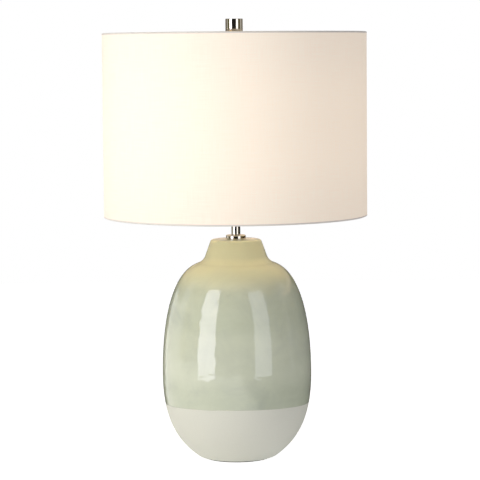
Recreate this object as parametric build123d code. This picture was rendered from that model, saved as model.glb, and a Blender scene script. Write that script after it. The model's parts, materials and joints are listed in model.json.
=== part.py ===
from build123d import *
import os
from math import cos, radians, sin

# A table lamp: a glazed stoneware jar on a felt ring, a hollow threaded rod that clamps it
# between a base plate and a neck cap, a turn-key lampholder with its bulb, and a drum shade
# that a detachable harp carries, held down by a finial.
# Millimetres. +Z is up, z = 0 is the surface that the lamp stands on, and the front is -Y.

# ---- stoneware jar, heights above its own foot ----
foot_radius = 49.1
foot_ring_width = 12.1
foot_round = 16.0  # radius between the foot's flat and the side
foot_flare = 37.3  # degrees above level at which the side leaves that rounding
foot_handle = 34.5
belly_radius = 108.0
belly_height = 122.8
belly_handle_down = 69.8
belly_handle_up = 81.6
shoulder_radius = 55.1
shoulder_drop = 34.3  # from the mouth down to where the shoulder turns into the neck
shoulder_slope = 18.7  # degrees above level at that place
shoulder_handle = 39.5
neck_fillet = 16.9
neck_slope = 70.3  # degrees above level of the neck's cone
jar_height = 317.1
lip_radius = 5.0
jar_wall = 6.0
neck_hole_radius = 7.0
recess_depth = 17.0
recess_draft = 1.5
floor_thickness = 7.0
floor_hole_radius = 22.0
bowl_radius = 52.0
bowl_handle = 34.0
foot_bevel = 0.8
hidden_courses = 5

# ---- felt ring under the foot ----
pad_thickness = 1.5
pad_inset = 1.0

# ---- cord bushing in the back of the jar, square to the wall ----
bushing_place = 0.48  # share of the way along the jar's curve from foot to belly
bushing_flat_depth = 0.5  # of the flat on the jar that the flange sits on
bushing_bore = 3.6
bushing_barrel = 5.6
bushing_flange = 8.6
bushing_flange_height = 2.4
bushing_inner_flange = 7.4
bushing_inner_height = 2.0
bushing_round = 1.0

# ---- hollow rod, M10 x 1, and what it clamps ----
rod_radius = 5.0
rod_bore = 3.5
thread_clearance = 0.05
hole_clearance = 0.3
rod_tail = 2.0  # length of rod that shows under the base nut
gasket_thickness = 1.5
gasket_width = 7.0
gasket_margin = 1.0  # between the hole in the jar's floor and the gasket
plate_thickness = 1.5
plate_margin = 2.5  # between the plate's edge and the foot recess
plate_skirt = 4.0
washer_radius = 12.0
washer_thickness = 2.0
spring_washer_radius = 9.0
spring_washer_thickness = 2.2
spring_washer_slot = 1.6
base_nut_flats = 17.0
base_nut_thickness = 5.0

# ---- nickel neck fittings ----
neck_gasket_thickness = 0.5
neck_gasket_inset = 1.6
neck_cap_radius = 14.3
neck_cap_height = 5.8
neck_cap_round = 1.6
neck_cap_wall = 1.2
neck_tube_radius = 6.5
neck_tube_length = 27.6

# ---- harp saddle ----
saddle_thickness = 1.5
saddle_disc_radius = 12.0
saddle_arm_width = 9.0
saddle_bend = 3.0
saddle_rise = 7.5  # from the saddle's underside to the shoulders of its ears
ear_width = 4.8
ear_height = 12.0
ear_taper = 1.0
lug_radius = 1.4
saddle_nut_flats = 14.0
saddle_nut_thickness = 3.0

# ---- harp ----
harp_half_pitch = 36.0
harp_wire_radius = 1.6
harp_foot_thickness = 1.5
harp_foot_width = 4.8
harp_foot_overlap = 4.0
foot_gap = 0.1  # between the harp's foot and the saddle's ear
harp_half_width = 58.0
harp_height = 251.0  # from the saddle's top face to the face that carries the shade
harp_leg = 54.0  # from the saddle's top to the first bend
harp_flare_height = 98.0
harp_bow_height = 181.0
harp_crown_half = 30.0
harp_leg_bend = 60.0
harp_side_bend = 80.0
harp_crown_bend = 28.0
eye_radius = 7.5
eye_thickness = 2.0
eye_reach = 13.0

# ---- sleeves that lock the harp to the saddle ----
sleeve_radius = 4.2
sleeve_wall = 1.0
sleeve_neck = 3.0
sleeve_clearance = 0.3

# ---- swivel on top of the harp ----
swivel_pin_radius = 2.5
running_clearance = 0.05
swivel_play = 0.1
rivet_radius = 4.6
rivet_height = 1.2
rivet_crown_radius = 2.8
swivel_collar_radius = 4.5
swivel_seat_radius = 11.0
swivel_seat_thickness = 2.0
stud_radius = 3.175  # 1/4-27 thread
stud_length = 14.6

# ---- drum shade ----
shade_radius = 190.0
shade_height = 264.7
linen_thickness = 0.6
liner_thickness = 0.5
hem_depth = 9.0
seam_width = 10.0
seam_lap = 0.5
ring_wire_radius = 1.4
ring_wire_side_count = 8
ring_gap = 0.1
shade_drop = 10.0  # from the shade's top edge down to the top of its hub
hub_radius = 14.0
hub_bore = 5.55
hub_thickness = 1.6
arm_count = 3
arm_radius = 1.3
arm_run = 150.0  # level length of each arm before it rises to the ring
arm_bend = 60.0

# ---- finial ----
finial_radius = 12.5
finial_length = 20.5
finial_bevel = 0.6
finial_neck_radius = 6.5
finial_neck_length = 7.1
finial_foot_radius = 8.0
finial_foot_height = 2.0
finial_bore_spare = 1.4

# ---- lampholder ----
cap_hub_radius = 8.5
cap_hub_height = 7.5
cap_radius = 17.3
cap_height = 22.0
cap_wall = 0.7
set_screw_radius = 1.5
set_screw_length = 5.5
shell_wall = 0.6
shell_height = 38.0
shell_lap = 5.0  # how far the shell sits down inside the cap's rim
insulator_wall = 0.8
insulator_drop = 3.0
body_height = 25.0
body_foot_radius = 8.0
body_cone = 8.0
body_recess = 6.2
body_recess_depth = 5.0
pocket_depth = 4.0
pocket_width = 9.0
pocket_height = 9.0
terminal_height = 13.5
terminal_head_radius = 3.2
terminal_head_height = 1.8
terminal_shank_radius = 1.6
terminal_shank_length = 4.0
screw_shell_wall = 0.5
screw_shell_height = 21.5
screw_shell_window = 7.0
contact_width = 5.0
contact_thickness = 0.5
contact_rise = 3.2
contact_half_length = 5.5

# ---- turn switch ----
switch_height = 17.5  # of its axis above the underside of the lampholder's body
spindle_radius = 2.4
spindle_depth = 4.0
slot_side_clearance = 0.8
knob_radius = 5.0
knob_length = 13.0
knob_round = 1.7
knob_collar_length = 3.2
knob_gap = 0.5
knob_flutes = 8
knob_flute_radius = 1.0
knob_flute_depth = 0.7
knob_socket = 6.0

# ---- bulb ----
bulb_base_radius = 13.1  # Edison screw, 27 mm
bulb_base_clearance = 0.1
bulb_contact_radius = 4.5
bulb_contact_height = 1.5
bulb_contact_gap = 0.3
bulb_insulator_height = 5.0
bulb_insulator_radius = 10.0
bulb_cap_height = 20.5
bulb_collar_radius = 13.9
bulb_collar_height = 6.5
bulb_cap_wall = 0.4
bulb_radius = 27.5
bulb_length = 100.0
bulb_throat = 60.0  # radius of the hollow curve between neck and globe
bulb_wall = 0.8

# ---- where the pieces stand, from the table upwards ----
jar_base = pad_thickness
jar_top = jar_base + jar_height
floor_under = jar_base + recess_depth
plate_top = floor_under - gasket_thickness
washer_top = plate_top - plate_thickness
spring_washer_top = washer_top - washer_thickness
base_nut_top = spring_washer_top - spring_washer_thickness
rod_bottom = base_nut_top - base_nut_thickness - rod_tail
neck_cap_base = jar_top + neck_gasket_thickness
tube_base = neck_cap_base + neck_cap_height
saddle_base = tube_base + neck_tube_length
saddle_top = saddle_base + saddle_thickness
ear_base = saddle_base + saddle_rise
ear_top = ear_base + ear_height
holder_base = saddle_top + saddle_nut_thickness
seat_top = saddle_top + harp_height
seat_base = seat_top - swivel_seat_thickness
crown_level = seat_base - harp_wire_radius - 3 * swivel_play
hub_top = seat_top + hub_thickness
shade_top = hub_top + shade_drop
shade_base = shade_top - shade_height

body_base = holder_base + cap_hub_height + cap_wall
body_top = body_base + body_height
cap_rim = holder_base + cap_height
shell_base = cap_rim - shell_lap
shell_top = shell_base + shell_height
switch_level = body_base + switch_height
terminal_level = body_base + terminal_height
rod_top = body_base + body_recess_depth - 2 * running_clearance
bulb_base = body_top + contact_thickness + contact_rise + bulb_contact_gap

# ---- radii that follow from the ones above ----
hole_radius = rod_radius + hole_clearance
foot_ring_inner = foot_radius - foot_ring_width
ear_outer = harp_half_pitch - foot_gap
foot_inner = harp_half_pitch + foot_gap
sleeve_bore = sleeve_radius - sleeve_wall
shell_radius = cap_radius - cap_wall - running_clearance
insulator_radius = shell_radius - shell_wall - running_clearance
body_radius = insulator_radius - insulator_wall - running_clearance
screw_shell_bore = bulb_base_radius + bulb_base_clearance
liner_outer = shade_radius - linen_thickness
liner_inner = liner_outer - liner_thickness
ring_radius = liner_inner - ring_gap - ring_wire_radius
hem_reach = ring_radius - ring_wire_radius - ring_gap
top_ring_level = shade_top - linen_thickness - ring_gap - ring_wire_radius
bottom_ring_level = shade_base + linen_thickness + ring_gap + ring_wire_radius


def turned(*outline):
    """The solid that a half section of (radius, height) curves sweeps about the lamp's axis."""
    return revolve(Plane.XZ * make_face(outline), Axis.Z)


def turned_corners(*corners):
    """The same, for a half section with straight sides."""
    return turned(Polyline(*corners, close=True))


def ring(inner, outer, base, top):
    """A flat ring or a plain tube about the lamp's axis."""
    return turned_corners((inner, base), (outer, base), (outer, top), (inner, top))


def rod_along(radius, start, end):
    """A round bar from one point to another."""
    axis = Vector(end) - Vector(start)
    return extrude(Plane(origin=start, z_dir=axis) * Circle(radius), axis.length)


def hex_nut(flats, base, thickness):
    """A hexagon nut on the rod, with its corners chamfered by a cone top and bottom."""
    corner = flats / 2 / cos(radians(30))
    chamfer = corner - flats / 2
    drop = chamfer / 2
    top = base + thickness
    blank = Pos(0, 0, base) * extrude(RegularPolygon(corner, 6), thickness)
    envelope = turned_corners(
        (rod_radius + thread_clearance, base),
        (flats / 2, base),
        (corner, base + drop),
        (corner, top - drop),
        (flats / 2, top),
        (rod_radius + thread_clearance, top),
    )
    return blank & envelope


# ---- jar ----


def jar_side(inset):
    """The jar's side from belly to neck, moved in from its outer face, as (curves, end of the neck)."""
    low, high = radians(shoulder_slope), radians(neck_slope)
    shrink = 1 - inset / belly_radius
    belly = Vector(belly_radius - inset, jar_base + belly_height)
    turn = Vector(shoulder_radius, jar_top - shoulder_drop)
    shoulder = turn - Vector(sin(low), cos(low)) * inset
    centre = turn + Vector(sin(low), cos(low)) * neck_fillet
    reach = neck_fillet + inset

    def around(angle):
        return centre - Vector(sin(angle), cos(angle)) * reach

    lip_start = jar_top - lip_radius * (1 - cos(high))
    neck_end = jar_top - jar_wall if inset else lip_start
    rise = neck_end - around(high).Y
    end = around(high) + Vector(-cos(high), sin(high)) * (rise / sin(high))
    curves = [
        Bezier(
            belly,
            belly + Vector(0, belly_handle_up * shrink),
            shoulder + Vector(cos(low), -sin(low)) * shoulder_handle * shrink,
            shoulder,
        ),
        ThreePointArc(around(low), around((low + high) / 2), around(high)),
        Line(around(high), end),
    ]
    return curves, end


def foot_turn(slope):
    """The point of the foot's rounding where it has risen to a slope, in degrees above level."""
    angle = radians(slope)
    return Vector(foot_radius, jar_base) + Vector(sin(angle), 1 - cos(angle)) * foot_round


def foot_curve():
    """The outer curve from the foot's rounding to the belly."""
    flare = radians(foot_flare)
    foot = foot_turn(foot_flare)
    belly = Vector(belly_radius, jar_base + belly_height)
    return Bezier(
        foot,
        foot + Vector(cos(flare), sin(flare)) * foot_handle,
        belly - Vector(0, belly_handle_down),
        belly,
    )


def jar_outline():
    """The jar's outer curves, from the foot's flat to the flat top of its neck."""
    rounding = ThreePointArc(foot_turn(0), foot_turn(foot_flare / 2), foot_turn(foot_flare))
    side, neck = jar_side(0)
    high = radians(neck_slope)
    lip_centre = neck - Vector(sin(high), cos(high)) * lip_radius
    half = high / 2
    lip_middle = lip_centre + Vector(sin(half), cos(half)) * lip_radius
    lip_end = lip_centre + Vector(0, lip_radius)
    lip = ThreePointArc(neck, lip_middle, lip_end)
    return [rounding, foot_curve(), *side, lip], lip_end


def jar_envelope():
    """The jar's outer form, solid inside."""
    outline, lip_end = jar_outline()
    cap = Polyline(lip_end, (0, jar_top), (0, jar_base), (foot_radius, jar_base))
    return turned(*outline, cap)


def coursed(curve):
    """A curve drawn as a few straight courses, for the inside of a wall that nothing shows."""
    return Polyline(*[curve @ (step / hidden_courses) for step in range(hidden_courses + 1)])


def jar_hollow():
    """The space inside the jar, with the holes in its neck and its floor."""
    side, neck = jar_side(jar_wall)
    floor_top = floor_under + floor_thickness
    belly = Vector(belly_radius - jar_wall, jar_base + belly_height)
    bowl = Bezier(
        (bowl_radius, floor_top),
        (bowl_radius + bowl_handle, floor_top),
        belly - Vector(0, belly_handle_down * (1 - jar_wall / belly_radius)),
        belly,
    )
    inside = Polyline(
        neck,
        (neck_hole_radius, jar_top - jar_wall),
        (neck_hole_radius, jar_top + jar_wall),
        (0, jar_top + jar_wall),
        (0, floor_under - floor_thickness),
        (floor_hole_radius, floor_under - floor_thickness),
        (floor_hole_radius, floor_top),
        (bowl_radius, floor_top),
    )
    shoulder, fillet_arc, cone = side
    return turned(coursed(bowl), coursed(shoulder), coursed(fillet_arc), cone, inside)


def foot_recess():
    """The hollow under the foot, with a little draft, and the bevels of the foot ring's two edges."""
    inner = foot_ring_inner
    return turned_corners(
        (0, jar_base - foot_bevel),
        (inner + foot_bevel, jar_base - foot_bevel),
        (inner + foot_bevel, jar_base),
        (inner, jar_base + foot_bevel),
        (inner - recess_draft, floor_under),
        (0, floor_under),
    )


def bushing_plane():
    """The plane of the flat on the back of the jar where the cord comes out, facing out of the wall."""
    curve = foot_curve()
    place, along = curve @ bushing_place, curve % bushing_place
    wall = Plane(origin=(0, place.X, place.Y), x_dir=(1, 0, 0), z_dir=(0, along.Y, -along.X))
    return wall.offset(-bushing_flat_depth)


def jar_body():
    """The stoneware jar: an even wall, a thick foot and holes for the rod, the floor plate and the cord."""
    cord_hole = Cylinder(bushing_barrel, 4 * jar_wall)
    flat = Cylinder(
        2 * bushing_flange, 4 * bushing_flat_depth, align=(Align.CENTER, Align.CENTER, Align.MIN)
    )
    return jar_envelope() - jar_hollow() - foot_recess() - bushing_plane() * (cord_hole + flat)


def foot_pad():
    """The felt ring stuck to the foot."""
    inner = foot_ring_inner + foot_bevel + pad_inset
    return ring(inner, foot_radius - pad_inset, 0, pad_thickness)


def cord_bushing(jar):
    """A rubber grommet: one flange on the flat outside, one that follows the wall inside."""
    plane = bushing_plane()
    outer = Cylinder(
        bushing_flange, bushing_flange_height, align=(Align.CENTER, Align.CENTER, Align.MIN)
    )
    outer = fillet(outer.edges().group_by(Axis.Z)[-1], bushing_round)
    depth = 1.5 * jar_wall + bushing_inner_height
    barrel = Pos(0, 0, -depth) * Cylinder(
        bushing_barrel, depth, align=(Align.CENTER, Align.CENTER, Align.MIN)
    )
    inner = Pos(0, 0, -depth) * Cylinder(
        bushing_inner_flange,
        bushing_inner_height + jar_wall / 2,
        align=(Align.CENTER, Align.CENTER, Align.MIN),
    )
    bore = Cylinder(bushing_bore, 4 * jar_wall)
    return plane * (outer + barrel + inner - bore) - jar


# ---- base fittings ----


def base_gasket():
    """The cork ring between the jar's floor and the steel plate."""
    inner = floor_hole_radius + gasket_margin
    return ring(inner, inner + gasket_width, plate_top, floor_under)


def base_plate():
    """A pressed steel disc with a turned-down skirt that bridges the hole in the jar's floor."""
    edge = foot_ring_inner - recess_draft - plate_margin
    skirt_end = plate_top - plate_skirt
    under = plate_top - plate_thickness
    return turned(
        Polyline(
            (edge - plate_thickness, under),
            (hole_radius, under),
            (hole_radius, plate_top),
            (edge - plate_thickness, plate_top),
        ),
        ThreePointArc(
            (edge - plate_thickness, plate_top),
            (
                edge - plate_thickness * (1 - sin(radians(45))),
                plate_top - plate_thickness * (1 - cos(radians(45))),
            ),
            (edge, under),
        ),
        Polyline(
            (edge, under),
            (edge, skirt_end),
            (edge - plate_thickness, skirt_end),
            (edge - plate_thickness, under),
        ),
    )


def base_washer():
    """The plain washer under the plate."""
    return ring(hole_radius, washer_radius, spring_washer_top, washer_top)


def base_spring_washer():
    """The split washer that keeps the base nut tight."""
    washer = ring(hole_radius, spring_washer_radius, base_nut_top, spring_washer_top)
    middle = (base_nut_top + spring_washer_top) / 2
    slot = Box(
        spring_washer_slot,
        spring_washer_radius,
        4 * spring_washer_thickness,
        align=(Align.CENTER, Align.MIN, Align.CENTER),
    )
    return washer - Pos(0, 0, middle) * slot


def threaded_rod():
    """The hollow rod that runs from the base nut into the lampholder."""
    return ring(rod_bore, rod_radius, rod_bottom, rod_top)


# ---- neck fittings ----


def neck_gasket():
    """The thin washer that keeps the nickel off the glaze."""
    return ring(hole_radius, neck_cap_radius - neck_gasket_inset, jar_top, neck_cap_base)


def neck_cap():
    """The turned nickel cap on the jar's neck, hollow under its face."""
    side = neck_cap_radius
    top = tube_base
    hollow = neck_tube_radius + neck_cap_wall
    blank = ring(hole_radius, side, neck_cap_base, top)
    blank = fillet(blank.edges().group_by(Axis.Z)[-1].sort_by(SortBy.RADIUS)[-1], neck_cap_round)
    under = ring(hollow, side - 2 * neck_cap_wall, neck_cap_base, top - 2 * neck_cap_wall)
    return blank - under


def neck_tube():
    """The nickel spacer between neck cap and saddle."""
    return ring(hole_radius, neck_tube_radius, tube_base, saddle_base)


# ---- saddle and harp ----


def harp_saddle():
    """A stamped strip, bent up at both ends into shouldered ears, with a lug under each harp foot."""
    half = ear_outer - saddle_thickness / 2
    strip = FilletPolyline(
        (-half, ear_top),
        (-half, saddle_base + saddle_thickness / 2),
        (half, saddle_base + saddle_thickness / 2),
        (half, ear_top),
        radius=saddle_bend,
    )
    section = Plane.XZ * trace(strip, saddle_thickness)
    saddle = extrude(section, saddle_arm_width / 2, both=True)
    saddle += ring(0, saddle_disc_radius, saddle_base, saddle_top)
    saddle -= Pos(0, 0, saddle_base) * Cylinder(hole_radius, 4 * saddle_thickness)
    trim = Plane.YZ * Polyline(
        (ear_width / 2, ear_base),
        (saddle_arm_width, ear_base),
        (saddle_arm_width, ear_top + saddle_thickness),
        (ear_width / 2 - ear_taper, ear_top + saddle_thickness),
        (ear_width / 2 - ear_taper, ear_top),
        (ear_width / 2, ear_top - 2 * ear_taper),
        close=True,
    )
    waste = extrude(make_face(trim), 2 * harp_half_pitch, both=True)
    saddle -= waste
    saddle -= mirror(waste, Plane.XZ)
    for side in (-1, 1):
        start = (side * (ear_outer - saddle_thickness / 2), 0, ear_base - lug_radius)
        end = (side * (foot_inner + harp_foot_thickness), 0, ear_base - lug_radius)
        saddle += rod_along(lug_radius, start, end)
    return saddle


def harp_path():
    """The centre line of the harp's wire, from foot to foot."""
    straight = ear_top + foot_gap
    half = [
        (harp_half_pitch, straight),
        (harp_half_pitch, saddle_top + harp_leg),
        (harp_half_width, saddle_top + harp_flare_height),
        (harp_half_width, saddle_top + harp_bow_height),
        (harp_crown_half, crown_level),
    ]
    corners = half + [(-x, z) for x, z in reversed(half)]
    bends = [harp_leg_bend, harp_side_bend, harp_side_bend, harp_crown_bend]
    return Plane.XZ * FilletPolyline(*corners, radius=bends + bends[::-1])


def harp_bow():
    """The harp: one bent wire with flattened feet and a pierced flat at its crown."""
    path = harp_path()
    wire = sweep(Plane(origin=path @ 0, z_dir=path % 0) * Circle(harp_wire_radius), path)
    wire -= Pos(0, 0, crown_level) * Box(2 * eye_radius, 4 * eye_radius, 4 * harp_wire_radius)
    flat = SlotOverall(2 * eye_reach, 2 * eye_radius)
    eye_base = crown_level - eye_thickness / 2
    wire += Pos(0, 0, eye_base) * extrude(flat, eye_thickness)
    wire -= Pos(0, 0, crown_level) * Cylinder(
        swivel_pin_radius + running_clearance, 2 * eye_thickness
    )
    height = ear_top - ear_base + harp_foot_overlap
    for side in (-1, 1):
        foot = Box(
            harp_foot_thickness,
            harp_foot_width,
            height,
            align=(Align.CENTER, Align.CENTER, Align.MIN),
        )
        middle = side * (foot_inner + harp_foot_thickness / 2)
        wire += Pos(middle, 0, ear_base) * foot
    return wire


def harp_sleeve(side):
    """A sleeve that slides down over one ear and the harp's foot, with a neck that rides on the wire."""
    top_step = ear_base + ear_height + harp_foot_overlap + sleeve_clearance
    end = top_step + sleeve_neck
    neck = harp_wire_radius + sleeve_clearance
    bevel = sleeve_wall / 2
    sleeve = turned_corners(
        (sleeve_bore, ear_base),
        (sleeve_radius - bevel, ear_base),
        (sleeve_radius, ear_base + bevel),
        (sleeve_radius, end - 2 * bevel),
        (sleeve_radius - 2 * bevel, end),
        (neck, end),
        (neck, top_step),
        (sleeve_bore, top_step),
    )
    return Pos(side * harp_half_pitch, 0, 0) * sleeve


def harp_swivel():
    """The riveted swivel: a pin through the harp's crown, a seat for the shade and a threaded stud."""
    eye_top = crown_level + eye_thickness / 2
    eye_base = crown_level - eye_thickness / 2
    stud_top = seat_top + stud_length
    point = stud_radius / 4
    return turned_corners(
        (0, eye_base - swivel_play - rivet_height),
        (rivet_crown_radius, eye_base - swivel_play - rivet_height),
        (rivet_radius, eye_base - swivel_play - rivet_height / 2),
        (rivet_radius, eye_base - swivel_play),
        (swivel_pin_radius, eye_base - swivel_play),
        (swivel_pin_radius, eye_top + swivel_play),
        (swivel_collar_radius, eye_top + swivel_play),
        (swivel_collar_radius, seat_base),
        (swivel_seat_radius, seat_base),
        (swivel_seat_radius, seat_top),
        (stud_radius, seat_top),
        (stud_radius, stud_top - point),
        (stud_radius - point, stud_top),
        (0, stud_top),
    )


# ---- shade and finial ----


def arm_angles():
    """The directions of the shade's arms, the first one to the back."""
    return [90 + number * 360 / arm_count for number in range(arm_count)]


def shade_cover():
    """The linen: a drum whose edges roll over the rim wires, lapped in one seam at the back."""
    hem_inner = hem_reach - linen_thickness
    roll = ring_wire_radius + ring_gap

    def edge_roll(rim, way):
        """The curves over one rim, from the outer face to the inner one; way is +1 at the top."""
        corner = linen_thickness / 2
        return [
            (shade_radius, rim - way * corner),
            (shade_radius - corner, rim),
            (hem_inner + corner, rim),
            (hem_inner, rim - way * corner),
            (hem_inner, rim - way * hem_depth),
            (hem_reach, rim - way * hem_depth),
            (hem_reach, rim - way * (linen_thickness + 2 * roll)),
            (hem_reach, rim - way * linen_thickness),
            (liner_outer, rim - way * linen_thickness),
        ]

    outline = edge_roll(shade_base, -1) + edge_roll(shade_top, 1)[::-1]
    drum = turned_corners(*outline)
    notch_top = top_ring_level + arm_radius + ring_gap
    notch = Pos(hem_reach - linen_thickness / 2, 0, notch_top) * Box(
        2 * linen_thickness,
        2 * arm_radius + 4 * ring_gap,
        2 * hem_depth,
        align=(Align.CENTER, Align.CENTER, Align.MAX),
    )
    for angle in arm_angles():
        drum -= Rot(0, 0, angle) * notch
    seam = Pos(0, shade_radius, (shade_top + shade_base) / 2) * Box(
        seam_width, 2 * seam_lap, shade_height - 2 * hem_depth
    )
    return drum + (seam - ring(0, shade_radius - seam_lap / 2, shade_base, shade_top))


def shade_liner():
    """The stiff plastic liner that the linen is laid on."""
    margin = linen_thickness + ring_gap
    return ring(liner_inner, liner_outer, shade_base + margin, shade_top - margin)


def rim_wire(level):
    """One wire ring inside the shade's hem; its section has eight flats, because the linen hides it."""
    section = Pos(ring_radius, level) * RegularPolygon(ring_wire_radius, ring_wire_side_count)
    return revolve(Plane.XZ * section, Axis.Z)


def shade_top_frame():
    """The upper ring, welded to three arms and to the hub washer that sits on the swivel."""
    arm_level = hub_top + arm_radius / 2
    path = Plane.XZ * FilletPolyline(
        (hub_radius - 2 * arm_radius, arm_level),
        (arm_run, arm_level),
        (ring_radius, top_ring_level),
        radius=arm_bend,
    )
    arm = sweep(Plane(origin=path @ 0, z_dir=path % 0) * Circle(arm_radius), path)
    frame = rim_wire(top_ring_level) + ring(hub_bore, hub_radius, seat_top, hub_top)
    for angle in arm_angles():
        frame += Rot(0, 0, angle) * arm
    return frame


def shade_bottom_ring():
    """The lower ring."""
    return rim_wire(bottom_ring_level)


def finial():
    """A plain polished cylinder on a small foot, bored for the stud."""
    neck_base = hub_top + finial_foot_height
    body_start = neck_base + finial_neck_length
    top = body_start + finial_length
    bore = stud_radius + running_clearance
    depth = seat_top + stud_length + finial_bore_spare
    return turned_corners(
        (bore, hub_top),
        (finial_foot_radius, hub_top),
        (finial_foot_radius, neck_base),
        (finial_neck_radius, neck_base),
        (finial_neck_radius, body_start),
        (finial_radius - finial_bevel, body_start),
        (finial_radius, body_start + finial_bevel),
        (finial_radius, top - finial_bevel),
        (finial_radius - finial_bevel, top),
        (0, top),
        (0, depth),
        (bore, depth),
    )


# ---- lampholder ----


def bell(inset, end):
    """The cap's bell curve, moved in from its outer face, from the hub to a level."""
    base = holder_base + cap_hub_height + inset
    side = cap_radius - inset
    spread = side - cap_hub_radius
    start = Vector(cap_hub_radius, base)
    knee = Vector(side, base + spread)
    return [TangentArc(start, knee, tangent=(1, 0)), Line(knee, (side, end))]


def socket_cap():
    """The lower cup of the lampholder, with the threaded hub that screws on to the rod."""
    bore = rod_radius + thread_clearance
    floor = holder_base + cap_hub_height + cap_wall
    outer, inner = bell(0, cap_rim), [coursed(curve) for curve in bell(cap_wall, cap_rim)]
    cap = turned(
        Polyline(
            (cap_hub_radius, floor),
            (bore, floor),
            (bore, holder_base),
            (cap_hub_radius, holder_base),
            (cap_hub_radius, holder_base + cap_hub_height),
        ),
        *outer,
        Line((cap_radius, cap_rim), (cap_radius - cap_wall, cap_rim)),
        *inner,
    )
    level = holder_base + cap_hub_height / 2
    return cap - rod_along(set_screw_radius, (0, 0, level), (0, -2 * cap_hub_radius, level))


def socket_set_screw():
    """The small screw through the hub that stops the lampholder turning on the rod."""
    level = holder_base + cap_hub_height / 2
    start = rod_radius + thread_clearance
    screw = rod_along(
        set_screw_radius, (0, -start, level), (0, -start - set_screw_length, level)
    )
    slot = Box(4 * set_screw_radius, set_screw_radius, set_screw_radius / 3)
    return screw - Pos(0, -start - set_screw_length, level) * slot


def switch_slot(radius):
    """The notch that lets the switch spindle through a tube of the lampholder."""
    half = spindle_radius + slot_side_clearance
    low = shell_base - shell_lap
    notch = Pos(0, radius, switch_level) * Rot(90, 0, 0) * Cylinder(half, radius)
    open_end = Box(
        2 * half, radius, switch_level - low, align=(Align.CENTER, Align.CENTER, Align.MAX)
    )
    return notch + Pos(0, radius, switch_level) * open_end


def socket_shell():
    """The upper shell of the lampholder, with a small lip turned in over the insulating sleeve."""
    inner = shell_radius - shell_wall
    lip = inner - insulator_wall
    shell = turned_corners(
        (inner, shell_base),
        (shell_radius, shell_base),
        (shell_radius, shell_top - shell_wall),
        (shell_radius - shell_wall, shell_top),
        (lip, shell_top),
        (lip, shell_top - shell_wall),
        (inner, shell_top - shell_wall),
    )
    return shell - switch_slot(shell_radius)


def socket_sleeve():
    """The card sleeve that insulates the shell."""
    sleeve = ring(
        insulator_radius - insulator_wall,
        insulator_radius,
        shell_base + running_clearance,
        shell_top - insulator_drop,
    )
    return sleeve - switch_slot(shell_radius)


def socket_body():
    """The moulded body that carries the contacts, bored for rod end, switch spindle and terminals."""
    body = turned_corners(
        (body_recess, body_base),
        (body_foot_radius, body_base),
        (body_radius, body_base + body_cone),
        (body_radius, body_top),
        (0, body_top),
        (0, body_base + body_recess_depth),
        (body_recess, body_base + body_recess_depth),
    )
    body -= rod_along(
        spindle_radius + running_clearance,
        (0, spindle_depth - running_clearance, switch_level),
        (0, 2 * body_radius, switch_level),
    )
    for side in (-1, 1):
        floor = side * (body_radius - pocket_depth)
        pocket = Box(2 * pocket_depth, pocket_width, pocket_height)
        body -= Pos(side * body_radius, 0, terminal_level) * pocket
        inner = floor - side * terminal_shank_length
        body -= rod_along(
            terminal_shank_radius, (inner, 0, terminal_level), (floor, 0, terminal_level)
        )
    return body


def terminal_screws():
    """The two screws that hold the wires."""
    screws = []
    for side in (-1, 1):
        floor = side * (body_radius - pocket_depth)
        inner = floor - side * terminal_shank_length
        tip = floor + side * terminal_head_height
        screw = rod_along(
            terminal_shank_radius, (inner, 0, terminal_level), (floor, 0, terminal_level)
        )
        screw += rod_along(
            terminal_head_radius, (floor, 0, terminal_level), (tip, 0, terminal_level)
        )
        slot = Box(
            terminal_head_height, terminal_shank_radius / 2, 3 * terminal_head_radius
        )
        screws.append(screw - Pos(tip, 0, terminal_level) * slot)
    return Compound(children=screws)


def screw_shell():
    """The brass screw shell that takes the bulb, with a pierced floor on top of the body."""
    outer = screw_shell_bore + screw_shell_wall
    return turned_corners(
        (screw_shell_window, body_top),
        (outer, body_top),
        (outer, body_top + screw_shell_height),
        (screw_shell_bore, body_top + screw_shell_height),
        (screw_shell_bore, body_top + screw_shell_wall),
        (screw_shell_window, body_top + screw_shell_wall),
    )


def centre_contact():
    """The springy brass strip under the bulb's contact: a flat foot and a raised tongue."""
    half = contact_half_length
    foot_end = -half / 3
    base = body_top
    middle = base + contact_thickness / 2
    strip = Polyline(
        (-half, middle),
        (foot_end, middle),
        (foot_end + contact_rise, middle + contact_rise),
        (half - contact_thickness, middle + contact_rise),
    )
    return extrude(Plane.XZ * trace(strip, contact_thickness), contact_width / 2, both=True)


def switch_spindle():
    """The spindle that the knob turns."""
    start = (0, spindle_depth, switch_level)
    end = (0, cap_radius + knob_gap + knob_socket, switch_level)
    return rod_along(spindle_radius, start, end)


def switch_knob():
    """The moulded turn knob, with flutes for the fingers and a domed end."""
    start = cap_radius + knob_gap
    knob = Cylinder(knob_radius, knob_length, align=(Align.CENTER, Align.CENTER, Align.MIN))
    knob = fillet(knob.edges().group_by(Axis.Z)[-1], knob_round)
    reach = knob_radius + knob_flute_radius - knob_flute_depth
    flute = Pos(reach, 0, knob_collar_length) * Cylinder(
        knob_flute_radius, knob_length, align=(Align.CENTER, Align.CENTER, Align.MIN)
    )
    for number in range(knob_flutes):
        knob -= Rot(0, 0, number * 360 / knob_flutes) * flute
    knob -= Cylinder(spindle_radius, 2 * knob_socket)
    return Pos(0, start, switch_level) * Rot(-90, 0, 0) * knob


# ---- bulb ----


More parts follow.
